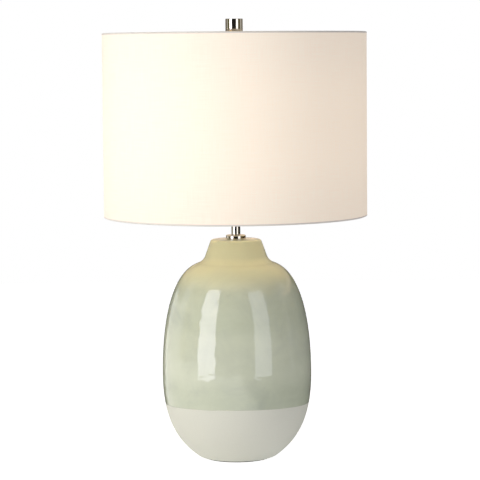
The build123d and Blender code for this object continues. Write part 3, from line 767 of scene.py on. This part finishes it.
@dataclass
class Jar:
    """The stoneware jar and the felt ring under it.

    Attributes:
        foot: Distance from the axis where the underside's flat ends and its rounding starts.
        foot_handle: Reach of the Bezier handle at the foot; the other handles are named likewise.
        inner_from: Height where the inner side starts; one point in inner_step of the outer side
            has its fellow on it.
        drill: Distance from the drill's axis and height above the cord hole's flat, corner by
            corner, of the stepped drill that cuts hole and flat.
        flat_out: How far outside the cord inlet's place the flat lies.
        felt_inset: Distance from the foot ring's inner edge to the felt's.
    """

    joins: Frame
    base: float = 1.5 * MM
    top: float = 318.6 * MM
    foot: float = 49.1 * MM
    foot_ring_inner: float = 37.0 * MM
    foot_ring_taper: float = 1.5 * MM
    foot_ring_edge: float = 0.8 * MM
    foot_round: float = 16.0 * MM
    foot_handle: float = 34.5 * MM
    foot_flare: float = radians(37.3)
    belly: float = 108.0 * MM
    belly_level: float = 124.3 * MM
    handle_down: float = 69.8 * MM
    handle_up: float = 81.6 * MM
    shoulder: float = 55.1 * MM
    shoulder_level: float = 284.3 * MM
    shoulder_slope: float = radians(18.7)
    shoulder_handle: float = 39.5 * MM
    neck_slope: float = radians(70.3)
    neck_fillet: float = 16.9 * MM
    lip: float = 5.0 * MM
    mouth: float = 7.0 * MM
    wall: float = 6.0 * MM
    inner_from: float = 42.0 * MM
    inner_step: int = 3
    recess: float = 18.5 * MM
    floor_top: float = 25.5 * MM
    floor_reach: float = 60.0 * MM
    floor_hole: float = 22.0 * MM
    drill: tuple[tuple[float, float], ...] = (
        (0, -14 * MM),
        (5.65 * MM, -14 * MM),
        (5.65 * MM, 0),
        (17.2 * MM, 0),
        (17.2 * MM, 4 * MM),
        (0, 4 * MM),
    )
    flat_out: float = 4.3 * MM
    felt_inset: float = 1.8 * MM
    felt_edge: float = 0.45 * MM
    columns: int = 192

    def outer_side(self) -> np.ndarray:
        """The outer curve: the foot's rounding, two Bezier curves, the neck's fillet, cone and lip.

        Returns:
            Distances from the axis and heights, from the foot up.
        """
        low, high = self.shoulder_slope, self.neck_slope
        turn = (-pi / 2, self.foot_flare - pi / 2)
        rounding = arc((self.foot, self.base + self.foot_round), self.foot_round, turn, count=10)
        reach = self.foot_handle * np.array((cos(self.foot_flare), sin(self.foot_flare)))
        widest = (self.belly, self.belly_level)
        below = (self.belly, self.belly_level - self.handle_down)
        over = (self.belly, self.belly_level + self.handle_up)
        before = (
            self.shoulder + self.shoulder_handle * cos(low),
            self.shoulder_level - self.shoulder_handle * sin(low),
        )
        lower = bezier([rounding[-1], rounding[-1] + reach, below, widest], count=46)
        upper = bezier([widest, over, before, (self.shoulder, self.shoulder_level)], count=64)
        centre = (
            self.shoulder + self.neck_fillet * sin(low),
            self.shoulder_level + self.neck_fillet * cos(low),
        )
        fillet = arc(centre, self.neck_fillet, (-pi / 2 - low, -pi / 2 - high), count=16)
        rise = self.top - self.lip * (1 - cos(high)) - fillet[-1, 1]
        neck = fillet[-1] + np.array((-cos(high), sin(high))) * rise / sin(high)
        lip_centre = (neck[0] - self.lip * sin(high), neck[1] - self.lip * cos(high))
        lip = arc(lip_centre, self.lip, (pi / 2 - high, pi / 2), count=10)
        cone = np.linspace(fillet[-1], neck, num=9)[1:-1]
        return np.concatenate((rounding, lower[1:], upper[1:], fillet[1:], cone, lip))

    def outline(self) -> np.ndarray:
        """The closed outline: outer side, mouth, inner side moved in by the wall, floor and foot.

        Returns:
            Distances from the axis and heights.
        """
        outer = self.outer_side()
        inner = outer - self.wall * across(outer)
        # it ends a little under the ceiling, which lies one wall below the mouth
        inner = inner[(inner[:, 1] < self.top - 1.2 * self.wall) & (inner[:, 1] > self.inner_from)]
        inner = inner[:: -self.inner_step]
        ceiling = self.top - self.wall
        rest = [(self.mouth, self.top), (self.mouth, ceiling), (inner[0, 0], ceiling)]
        under = [
            (self.floor_reach, self.floor_top),
            (self.floor_hole, self.floor_top),
            (self.floor_hole, self.recess),
            (self.foot_ring_inner - self.foot_ring_taper, self.recess),
            (self.foot_ring_inner, self.base + self.foot_ring_edge),
            (self.foot_ring_inner + self.foot_ring_edge, self.base),
        ]
        return np.concatenate((outer, rest, inner, under))

    def build(self) -> None:
        """Makes the jar with its cord hole, and the felt ring."""
        jar = turned("stoneware_jar", self.outline(), even_turn(self.columns), crease=40)
        self.cut_cord_hole(jar)
        self.joins.stands_for(jar, "jar_body", CeladonOverBareClay().material())
        self.felt()

    def cut_cord_hole(self, jar: Object) -> None:
        """Cuts a stepped drill out of the back wall: a wide shallow flat and the hole through it.

        The drill's axis is the cord inlet's, which the record states.

        Args:
            jar: The jar, whose mesh is changed.
        """
        inlet = next(m for m in frame["record"]["mounts"] if m["name"] == "cord_inlet")
        axis = Vector(inlet["axis"]).normalized()
        drill = turned("drill", np.array(self.drill), even_turn(96))
        turn = axis.to_track_quat("Z", "Y").to_matrix().to_4x4()
        flat = Vector(inlet["pos_m"]) + axis * self.flat_out
        drill.data.transform(Matrix.Translation(flat) @ turn)
        cut = jar.modifiers.new("cord_hole", "BOOLEAN")
        cut.operation, cut.object, cut.solver = "DIFFERENCE", drill, "EXACT"
        view = bpy.context.evaluated_depsgraph_get()
        mesh = bpy.data.meshes.new_from_object(jar.evaluated_get(view))
        jar.modifiers.clear()
        jar.data = mesh
        mesh.materials.clear()
        mesh.set_sharp_from_angle(angle=radians(30))
        bpy.data.objects.remove(drill)

    def felt(self) -> None:
        """Makes the felt ring, rounded where it was cut, pressed flat by the jar's weight."""
        low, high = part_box("foot_pad")
        outer, inner, thick = high[0], self.foot_ring_inner + self.felt_inset, high[2]
        corners = [(inner, 0), (outer, 0), (outer, thick), (inner, thick)]
        outline = rounded([(*corner, self.felt_edge) for corner in corners])
        pad = turned("felt_ring", outline, even_turn(128))
        self.joins.stands_for(pad, "foot_pad", self.joins.finish(FELT))


@dataclass
class NeckAndFinial:
    """The turned nickel pieces that show: the flange and tube on the neck, and the finial.

    Attributes:
        bore: Radius of the hole through flange and tube.
        stud: Radius of the finial's hole, and stud_top the distance from its end to the top.
        shelf: Distance from the finial's top to the underside of its cylinder.
        foot: Radius of the finial's foot, and waist that of its neck.
    """

    joins: Frame
    bore: float = 5.3 * MM
    edge: float = 0.25 * MM
    flange_round: float = 1.6 * MM
    stud: float = 3.225 * MM
    stud_top: float = 15.2 * MM
    shelf: float = 20.5 * MM
    foot: float = 8.0 * MM
    foot_height: float = 2.0 * MM
    waist: float = 6.5 * MM

    def build(self) -> None:
        """Makes the three pieces from their boxes in the frame."""
        nickel = self.joins.finish(NICKEL)
        for name, node, top_edge, count, columns in (
            ("neck_flange", "neck_cap", self.flange_round, 12, 160),
            ("neck_spacer_tube", "neck_tube", self.edge, 6, 128),
        ):
            low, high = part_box(node)
            radius, base, top = high[0], low[2], high[2]
            corners = [
                (self.bore, base, 0),
                (radius, base, self.edge),
                (radius, top, top_edge),
                (self.bore, top, 0),
            ]
            piece = turned(name, rounded(corners, count), even_turn(columns))
            self.joins.stands_for(piece, node, nickel)
        self.finial(nickel)

    def finial(self, nickel: Material) -> None:
        """Makes the finial: an eased cylinder on a short neck and foot, bored for its stud.

        Args:
            nickel: Its material.
        """
        low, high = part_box("finial")
        base, top, radius = low[2], high[2], high[0]
        end, shelf, step = top - self.stud_top, top - self.shelf, base + self.foot_height
        corners = [
            (0, end, 0),
            (self.stud, end, 0),
            (self.stud, base, 0),
            (self.foot, base, 0.3 * MM),
            (self.foot, step, 0.4 * MM),
            (self.waist, step, 0.2 * MM),
            (self.waist, shelf, 0.2 * MM),
            (radius, shelf, 0.4 * MM),
            (radius, top, 0.9 * MM),
            (0, top, 0),
        ]
        piece = turned("cylinder_finial", rounded(corners, count=7), even_turn(160))
        self.joins.stands_for(piece, "finial", nickel)


@dataclass
class DrumShade:
    """The linen rolled over two rim wires, the liner behind it and the wire frame.

    Attributes:
        cloth: Thickness of the linen, and liner that of the sheet behind it.
        hem_radius: Distance from the axis to the middle of the turned-in hem.
        bend_points: Points on each bend of the cloth's path, and wall_points those up its wall.
        bead: How far the rim wire swells the cloth, over bead_height from the rim.
        seam: Width of the lapped seam, which stands out by seam_lap over a step of seam_step.
    """

    joins: Frame
    radius: float = 190.0 * MM
    base: float = 351.9 * MM
    top: float = 616.6 * MM
    cloth: float = 0.5 * MM
    liner: float = 0.5 * MM
    hem_radius: float = 185.6 * MM
    hem_depth: float = 9.0 * MM
    rim_round: float = 1.5 * MM
    bend_points: int = 8
    wall_points: int = 90
    bead: float = 0.3 * MM
    bead_height: float = 3.0 * MM
    seam: float = 10.0 * MM
    seam_lap: float = 0.45 * MM
    seam_step: float = 0.12 * MM
    columns: int = 300

    def cloth_path(self) -> np.ndarray:
        """The middle of the cloth from hem end to hem end: up, over, down the wall, under and up.

        Returns:
            Distances from the axis and heights.
        """
        wall, turn, count = self.radius - self.cloth / 2, self.rim_round, self.bend_points
        half = []
        for rim, way in ((self.base + self.cloth / 2, -1), (self.top - self.cloth / 2, 1)):
            level, quarter = rim - way * turn, way * pi / 2
            inner = arc((self.hem_radius + turn, level), turn, (pi, pi - quarter), count)
            outer = arc((wall - turn, level), turn, (quarter, 0), count)
            end = np.array([(self.hem_radius, rim - way * self.hem_depth)])
            half.append(np.concatenate((end, inner, outer)))
        heights = np.linspace(half[0][-1, 1], half[1][-1, 1], self.wall_points)[1:-1]
        straight = np.column_stack((np.full(len(heights), wall), heights))
        return np.concatenate((half[0], straight, half[1][::-1]))

    def angles(self) -> np.ndarray:
        """Even columns, with closer ones at the two edges of the lapped seam at the back.

        Returns:
            The columns' angles, rising.
        """
        half, step = self.seam / 2 / self.radius, self.seam_step / self.radius
        edges = [pi / 2 + side * half + nudge * step for side in (-1, 1) for nudge in (-1, 0, 1)]
        even = even_turn(self.columns)
        even = even[np.abs(even - pi / 2) > half + 3 * step]
        return np.sort(np.concatenate((even, edges, [pi / 2])))

    def build(self) -> None:
        """Makes cloth, liner and frame."""
        path, angles = self.cloth_path(), self.angles()
        out = across(path) * self.cloth / 2
        loop = np.concatenate((path + out, (path - out)[::-1]))
        cover = turned("linen_drum", loop, angles, crease=60)
        self.shape_cloth(cover, loop, angles)
        run = np.concatenate(([0], np.cumsum(np.linalg.norm(np.diff(path, axis=0), axis=1))))
        self.map_cloth(cover, np.concatenate((run, run[::-1])), angles)
        length, hem = float(run[-1]), float(run[self.bend_points + 1])
        self.joins.stands_for(cover, "shade_cover", DrumLinen(length, hem).material())

        low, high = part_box("shade_liner")
        edge, inside = high[0], high[0] - self.liner
        sides = [(inside, low[2]), (edge, low[2]), (edge, high[2]), (inside, high[2])]
        liner = turned("styrene_liner", np.array(sides), even_turn(240))
        self.joins.stands_for(liner, "shade_liner", self.joins.finish(STYRENE))
        for node in ("shade_top_frame", "shade_bottom_ring"):
            wire = merged_copy(node, crease=50)
            self.joins.stands_for(wire, node, self.joins.finish(ENAMEL))

    def shape_cloth(self, cover: Object, loop: np.ndarray, angles: np.ndarray) -> None:
        """Moves the cloth out at its lapped seam and at the bead along each rim.

        The outer face moves out by the lap within half a seam of the back, between the hems. Both
        faces move out by the bead's height times a half cosine over the bead's width at each rim.

        Args:
            cover: The cloth.
            loop: Its outline, of which the first half is the outer face.
            angles: The angles of its columns.
        """
        mesh = cover.data
        points = np.empty(len(mesh.vertices) * 3)
        mesh.vertices.foreach_get("co", points)
        grid = points.reshape(len(angles), len(loop), 3)
        # the wall's points, and not the hem's, lie within little over a cloth of the drum's radius
        height, wall = loop[:, 1], loop[:, 0] > self.radius - 1.2 * self.cloth
        from_rim = np.minimum(height - self.base, self.top - height)
        swell = np.clip(from_rim / self.bead_height, 0, 1)
        out = np.where(wall, self.bead * np.cos(swell * pi / 2), 0)[None, :]
        # a hundred-thousandth of a radian more takes in the seam's two edge columns
        lapped = np.abs(angles - pi / 2) < self.seam / 2 / self.radius + 1e-5
        face = (np.arange(len(loop)) < len(loop) // 2) & wall & (from_rim > self.hem_depth / 2)
        out = out + self.seam_lap * np.outer(lapped, face)
        grid[..., 0] += np.cos(angles)[:, None] * out
        grid[..., 1] += np.sin(angles)[:, None] * out
        mesh.vertices.foreach_set("co", grid.reshape(-1))
        mesh.update()

    def map_cloth(self, cover: Object, run: np.ndarray, angles: np.ndarray) -> None:
        """Writes the UV map: metres round the drum, and metres along the cloth from one hem end.

        Args:
            cover: The cloth.
            run: Metres along the cloth at each point of its outline.
            angles: The angles of its columns.
        """
        mesh = cover.data
        corner = np.empty(len(mesh.loops), dtype=int)
        mesh.loops.foreach_get("vertex_index", corner)
        column, row = corner // len(run), corner % len(run)
        around = angles[column].reshape(-1, 4)
        last = around.max(axis=1, keepdims=True) - around > pi
        around = np.where(last, around + 2 * pi, around).reshape(-1)
        uv = np.column_stack((around * self.radius, run[row]))
        mesh.uv_layers.new(name="cloth").data.foreach_set("uv", uv.reshape(-1))


# Fittings whose form is a merged copy of their CAD node, and those that keep the node itself.
MERGED = {
    "harp_saddle": NICKEL,
    "saddle_nut": NICKEL,
    "harp_bow": NICKEL,
    "harp_sleeve_left": NICKEL,
    "harp_sleeve_right": NICKEL,
    "harp_swivel": NICKEL,
    "socket_cap": NICKEL,
    "socket_shell": NICKEL,
    "switch_knob": PHENOLIC,
    "switch_spindle": BRASS,
    "screw_shell": BRASS,
    "centre_contact": BRASS,
    "bulb_cap": ALUMINIUM,
    "bulb_insulator": VITRITE,
    "bulb_contact": SOLDER,
    "cord_bushing": RUBBER,
    "base_plate": ZINC,
}
KEPT = {
    "base_gasket": CORK,
    "base_washer": ZINC,
    "base_spring_washer": ZINC,
    "base_nut": ZINC,
    "threaded_rod": ZINC,
    "neck_gasket": WASHER,
    "socket_set_screw": ZINC,
    "socket_sleeve": CARD,
    "socket_body": PHENOLIC,
    "terminal_screws": BRASS,
}


@dataclass
class BulbAndHolder:
    """The lit bulb's glass, the lampholder, the harp and the rest of the fittings.

    Attributes:
        globe: Radius of the glass's ball.
        throat: Radius of the hollow curve between ball and neck.
        neck: Radius of the glass where it enters the cap.
    """

    joins: Frame
    globe: float = 27.5 * MM
    throat: float = 60.0 * MM
    neck: float = 13.45 * MM
    wall: float = 0.8 * MM

    def build(self) -> None:
        """Makes the glass and dresses all the fittings."""
        self.glass()
        for node, finish in MERGED.items():
            self.joins.stands_for(merged_copy(node), node, self.joins.finish(finish))
        for node, finish in KEPT.items():
            self.joins.dress(node, self.joins.finish(finish))

    def glass(self) -> None:
        """Makes the bulb's glass: neck, a throat arc that touches neck and globe, and the globe."""
        low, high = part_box("bulb_envelope")
        level = high[2] - self.globe
        drop = sqrt((self.globe + self.throat) ** 2 - (self.neck + self.throat) ** 2)
        tilt = asin(drop / (self.globe + self.throat))
        hollow = (self.neck + self.throat, level - drop)
        sides = []
        for inset in (0, self.wall):
            bend = arc(hollow, self.throat + inset, (pi, pi - tilt), count=20)
            globe = arc((0, level), self.globe - inset, (-tilt, pi / 2), count=40)
            globe[-1, 0] = 0
            sides.append(np.concatenate(([(self.neck - inset, low[2])], bend, globe[1:])))
        # the loop starts on the axis inside, goes down the inner face and up the outer one
        outline = np.concatenate((sides[1][::-1], sides[0]))
        glass = turned("opal_glass_globe", outline, even_turn(96))
        self.joins.stands_for(glass, "bulb_envelope", self.joins.finish(OPAL))


# ---------------------------------------------------------------- studio


def object_axes(tree: NodeTree) -> Node:
    """Adds nodes that split the Object coordinates into X, Y and Z."""
    return add_node(tree, "SeparateXYZ", Vector=(add_node(tree, "TexCoord"), "Object"))


def fading(
    tree: NodeTree, axis: str, span: tuple[float, float], brightness: tuple[float, float]
) -> Node:
    """Adds nodes for a brightness that changes smoothly along an axis.

    Args:
        tree: The tree that gets them.
        axis: X, Y or Z.
        span: Where the change starts and ends.
        brightness: The brightness before and after it.

    Returns:
        The last node.
    """
    change = {"From Min": span[0], "From Max": span[1], 3: brightness[0], 4: brightness[1]}
    return add_node(tree, "MapRange", {**EASED, **change}, Value=(object_axes(tree), axis))


def board_face(board: Object) -> NodeTree:
    """Gives a board a material of its own.

    Args:
        board: The board, which gives the material its name.

    Returns:
        The material's empty tree.
    """
    material, tree = new_tree(f"{board.name}_face")
    board.data.materials.append(material)
    return tree


def only_in_gloss(board: Object, tree: NodeTree, light: dict[str, Any], **links: Link) -> None:
    """Gives a board's face its own light, and hides the board so that only gloss shows it.

    Args:
        board: The board.
        tree: Its face's tree.
        light: The light's settings: its Color and Strength, where a strength of 1 is white.
        links: The nodes that give those of the two that change over the board.
    """
    add_node(tree, "OutputMaterial", Surface=add_node(tree, "Emission", light, **links))
    board.visible_camera = board.visible_diffuse = board.visible_shadow = False
    board.visible_transmission = False


@dataclass(frozen=True)
class Panel:
    """An upright panel round the set that faces the lamp.

    Attributes:
        name: What it is.
        bearing: Degrees to the right of the camera, seen from the lamp.
        distance: Metres from the lamp's axis.
        width: Its width in metres.
        height: Its height in metres.
        level: Height of its middle.
        brightness: Its own brightness, where 1 is white.
        tint: sRGB code of its light.
    """

    name: str
    bearing: float
    distance: float
    width: float
    height: float
    level: float
    brightness: float
    tint: str = "ffffff"

    def place(self) -> Matrix:
        """The panel's place: its own Z points away from the lamp and its own Y up.

        Returns:
            The matrix that takes the panel there.
        """
        turn = radians(self.bearing)
        away = Vector((sin(turn), -cos(turn), 0))
        facing = away.to_track_quat("Z", "Y").to_matrix().to_4x4()
        return Matrix.Translation(away * self.distance + Vector((0, 0, self.level))) @ facing

    def light(self) -> None:
        """Adds the panel as a soft box that lights the lamp and that gloss doesn't show."""
        data = bpy.data.lights.new(self.name, "AREA")
        data.shape = "RECTANGLE"
        data.size, data.size_y = self.width, self.height
        data.energy = self.brightness * pi * self.width * self.height
        data.color = linear(self.tint)[:3]
        box = placed(self.name, data)
        box.matrix_world = self.place()
        box.visible_glossy = False

    def card(self) -> None:
        """Adds the panel as a board of its own brightness that only gloss shows."""
        half = np.array((self.width / 2, self.height / 2, 0))
        corners = half * [(-1, -1, 0), (1, -1, 0), (1, 1, 0), (-1, 1, 0)]
        board = mesh_object(self.name, corners, [[0, 1, 2, 3]])
        board.data.transform(self.place())
        light = {"Color": linear(self.tint), "Strength": self.brightness}
        only_in_gloss(board, board_face(board), light)


# A tall key on the left and weak fills light the lamp.
SOFT_BOXES = (
    Panel("left_key", -49, 1.7, 0.9, 2.6, 1.2, 3.25, "fffbf2"),
    Panel("left_side_fill", -92, 1.9, 1.2, 2.2, 1.0, 0.42, "ffedd2"),
    Panel("front_fill", -8, 2.6, 1.6, 1.6, 1.3, 0.5),
    Panel("right_side_fill", 52, 1.9, 0.8, 2.2, 1.0, 0.9, "f8f6ff"),
)
# Gloss shows a bright strip on each side of the black, olive walls beyond them, and grey boards
# beside the white set, over the height of the metal.
CARDS = (
    Panel("left_strip", -46, 1.05, 0.52, 1.58, 0.8, 5.0, "f4f2ff"),
    Panel("right_strip", 40, 1.05, 0.5, 1.58, 0.8, 2.3, "f4f6ff"),
    Panel("left_wall", -81, 1.9, 1.0, 2.6, 1.3, 1.0, "78775a"),
    Panel("right_wall", 71, 1.9, 1.05, 2.6, 1.3, 1.0, "6f674b"),
    Panel("left_grey_board", -140, 0.7, 0.85, 1.2, 0.97, 1.0, "787064"),
    Panel("right_grey_board", 140, 0.7, 0.85, 1.2, 0.97, 1.0, "857f74"),
)


def level_board(
    name: str, low: tuple[float, float], high: tuple[float, float], level: float
) -> Object:
    """A level rectangle that faces up.

    Args:
        name: Its name.
        low: Its lowest X and Y.
        high: Its highest X and Y.
        level: Its height.

    Returns:
        The rectangle.
    """
    corners = [low, (high[0], low[1]), high, (low[0], high[1])]
    return mesh_object(name, np.array([(*corner, level) for corner in corners]), [[0, 1, 2, 3]])


@dataclass
class Studio:
    """Soft boxes, boards that the gloss shows, a white set and the photograph's camera.

    Attributes:
        distance: Distance of the camera from the lamp's axis.
        eye: Its height.
        focal_px: Its focal length in pixels of a picture of picture_px.
        bulb_radius: Radius of the ball of light round the bulb, whose middle lies bulb_drop below
            the glass's top.
        world_light: Strength of the light from all round.
        room_radius: Radius of the dark room, a dome of room_reach degrees behind the camera.
        room_fade: Shares of that radius along Y where it pales from the first room_brightness to
            the second.
        screen_outline: Distance from the axis and height at each turn of mat, screen and hem.
        screen_arc: First and last angle in degrees of the screen, from the lamp's right.
        hem_from: Height where its hem starts.
        mat: Lowest and highest X and Y of the mat on the right, which changes over the X of
            mat_fade from the first mat_brightness to the second.
        floor_from: Lowest X and Y of the floor, and floor_to its highest.
        bounce: Brightness of the floor to other light, and floor_white where it shows.
    """

    distance: float = 3.1472
    eye: float = 0.590
    pitch: float = 0.0865
    yaw: float = 0.00189
    roll: float = -0.0084
    focal_px: float = 2180.8
    picture_px: float = 480.0
    sensor_mm: float = 36.0
    bulb_tint: str = "ffe2b8"
    bulb_radius: float = 29.0 * MM
    bulb_drop: float = 27.5 * MM
    bulb_watts: float = 6.0
    world_light: float = 0.32
    room_radius: float = 4.0
    room_reach: float = 110.0
    room_fade: tuple[float, float] = (-0.25, 0.35)
    room_brightness: tuple[float, float] = (0.02, 1.0)
    screen_outline: tuple[tuple[float, float], ...] = (
        (0.06, 0.002),
        (0.3, 0.002),
        (0.3, 0.325),
        (0.3, 0.326),
        (0.3, 0.365),
    )
    screen_arc: tuple[float, float] = (-10, 142)
    screen_columns: int = 51
    screen_tint: str = "1c1a18"
    hem_from: float = 0.325
    hem_tint: str = "ecd6c0"
    mat: tuple[tuple[float, float], tuple[float, float]] = ((0.04, -2.4), (2.4, 0.0))
    mat_fade: tuple[float, float] = (0.06, 0.22)
    mat_brightness: tuple[float, float] = (1.05, 0.02)
    floor_from: tuple[float, float] = (-1.8, -1.2)
    floor_to: tuple[float, float] = (1.8, 2.4)
    bounce: float = 0.25
    floor_white: float = 0.9

    def build(self) -> None:
        """Sets up camera, lights, world and floor."""
        self.camera()
        for panel in SOFT_BOXES:
            panel.light()
        for panel in CARDS:
            panel.card()
        self.bulb_light()
        self.world()
        self.dark_room()
        self.low_screen()
        self.right_mat()
        self.floor()
        bpy.context.scene.view_settings.view_transform = "Standard"

    def camera(self) -> None:
        """Places the camera that was fitted to the photograph's outline."""
        data = bpy.data.cameras.new("photograph")
        data.sensor_width = self.sensor_mm
        data.lens = self.focal_px / self.picture_px * self.sensor_mm
        data.clip_end = 50
        camera = placed("photograph", data)
        level = cos(self.pitch)
        forward = Vector((sin(self.yaw) * level, cos(self.yaw) * level, -sin(self.pitch)))
        right = Vector((cos(self.yaw), -sin(self.yaw), 0))
        up = right.cross(forward)
        sideways = right * cos(self.roll) + up * sin(self.roll)
        upright = up * cos(self.roll) - right * sin(self.roll)
        turn = Matrix((sideways, upright, -forward)).transposed().to_4x4()
        camera.matrix_world = Matrix.Translation((0, -self.distance, self.eye)) @ turn
        bpy.context.scene.camera = camera

    def bulb_light(self) -> None:
        """Adds the warm light of the bulb, as a ball just outside its glass."""
        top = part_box("bulb_envelope")[1][2]
        data = bpy.data.lights.new("bulb_light", "POINT")
        data.shadow_soft_size = self.bulb_radius
        data.energy = self.bulb_watts
        data.color = linear(self.bulb_tint)[:3]
        light = placed("bulb_light", data)
        light.location = (0, 0, top - self.bulb_drop)
        light.visible_camera = light.visible_glossy = False

    def shown(self, tree: NodeTree) -> Node:
        """Adds nodes that give 1 for rays that show the set: to the camera, in gloss, in glass.

        Args:
            tree: The tree that gets them.

        Returns:
            The last node.
        """
        ray, larger = add_node(tree, "LightPath"), {"operation": "MAXIMUM"}
        direct, bent = (ray, "Is Camera Ray"), (ray, "Is Transmission Ray")
        seen = add_node(tree, "Math", larger, in0=direct, in1=bent)
        return add_node(tree, "Math", larger, in0=seen, in1=(ray, "Is Glossy Ray"))

    def world(self) -> None:
        """Makes a white set wherever it is looked at, and dim light from all round."""
        world = bpy.data.worlds.new("white_set")
        bpy.context.scene.world = world
        world.use_nodes = True
        tree = world.node_tree
        tree.nodes.clear()
        strength = add_node(tree, "MapRange", {3: self.world_light, 4: 1.0}, Value=self.shown(tree))
        surface = add_node(tree, "Background", {"Color": linear("ffffff")}, Strength=strength)
        add_node(tree, "OutputWorld", Surface=surface)

    def dark_room(self) -> None:
        """Makes the dark room behind the camera, a capped dome that pales to the set.

        A circle's arc is turned about an axis that then tips from up to the camera's direction.
        """
        radius, ends = self.room_radius, (pi / 2, pi / 2 - radians(self.room_reach))
        grid = swept(arc((0, 0), radius, ends, count=24)[1:], even_turn(48))
        number = numbered(grid, around=True)
        faces = quads(number) + [number[:-1, 0].tolist()]
        dome = mesh_object("dark_room", grid.reshape(-1, 3), faces)
        dome.data.transform(Matrix.Rotation(pi / 2, 4, "X"))
        tree, (start, end) = board_face(dome), self.room_fade
        pale = fading(tree, "Y", (start * radius, end * radius), self.room_brightness)
        only_in_gloss(dome, tree, {"Color": linear("ffffff")}, Strength=pale)

    def low_screen(self) -> None:
        """Makes a black screen and mat behind the jar, which line its glossy edges darkly.

        Their one outline is carried along an arc about the axis. The upper hem is warm, for the
        mouth's flat to show.
        """
        angles = np.radians(np.linspace(*self.screen_arc, self.screen_columns))
        grid = swept(np.array(self.screen_outline), angles)
        screen = mesh_object("low_black_screen", grid.reshape(-1, 3), quads(numbered(grid)))
        tree = board_face(screen)
        over = {"operation": "GREATER_THAN", 1: self.hem_from}
        hem = add_node(tree, "Math", over, in0=(object_axes(tree), "Z"))
        tints = {"data_type": "RGBA", 6: linear(self.screen_tint), 7: linear(self.hem_tint)}
        tint = add_node(tree, "Mix", tints, in0=hem)
        only_in_gloss(screen, tree, {"Strength": 1.0}, Color=tint)

    def right_mat(self) -> None:
        """Makes a mat in front on the right, white near the jar and black further out.

        The jar's lower right reflects it, so its glaze grows darker there without an edge.
        """
        mat = level_board("right_mat", *self.mat, MM)
        tree = board_face(mat)
        white = fading(tree, "X", self.mat_fade, self.mat_brightness)
        only_in_gloss(mat, tree, {"Color": linear("ffffff")}, Strength=white)

    def floor(self) -> None:
        """Makes a white floor that keeps a faint shadow and can't be seen from below.

        Where it shows it is mostly its own white, with a little of the light on it.
        """
        floor = level_board("white_floor", self.floor_from, self.floor_to, 0)
        material, tree = new_tree("white_studio_floor")
        paints = []
        for tone, own in (("dededc", self.bounce), ("bcbcbc", self.floor_white)):
            paint = add_node(tree, "BsdfDiffuse", {"Color": linear(tone)})
            white = add_node(tree, "Emission", {"Color": linear("ffffff"), "Strength": own})
            paints.append(add_node(tree, "AddShader", in0=white, in1=paint))
        either = add_node(tree, "MixShader", in0=self.shown(tree), in1=paints[0], in2=paints[1])
        side = (add_node(tree, "NewGeometry"), "Backfacing")
        through = add_node(tree, "BsdfTransparent")
        one_sided = add_node(tree, "MixShader", in0=side, in1=either, in2=through)
        add_node(tree, "OutputMaterial", Surface=one_sided)
        floor.data.materials.append(material)


def main() -> None:
    """Builds the sub-assemblies and the studio."""
    logging.basicConfig(level=logging.INFO, format="%(name)s: %(message)s")
    joins = Frame()
    for assembly in (Jar(joins), NeckAndFinial(joins), DrumShade(joins), BulbAndHolder(joins)):
        assembly.build()
    Studio().build()


if __name__ == "__main__":
    main()
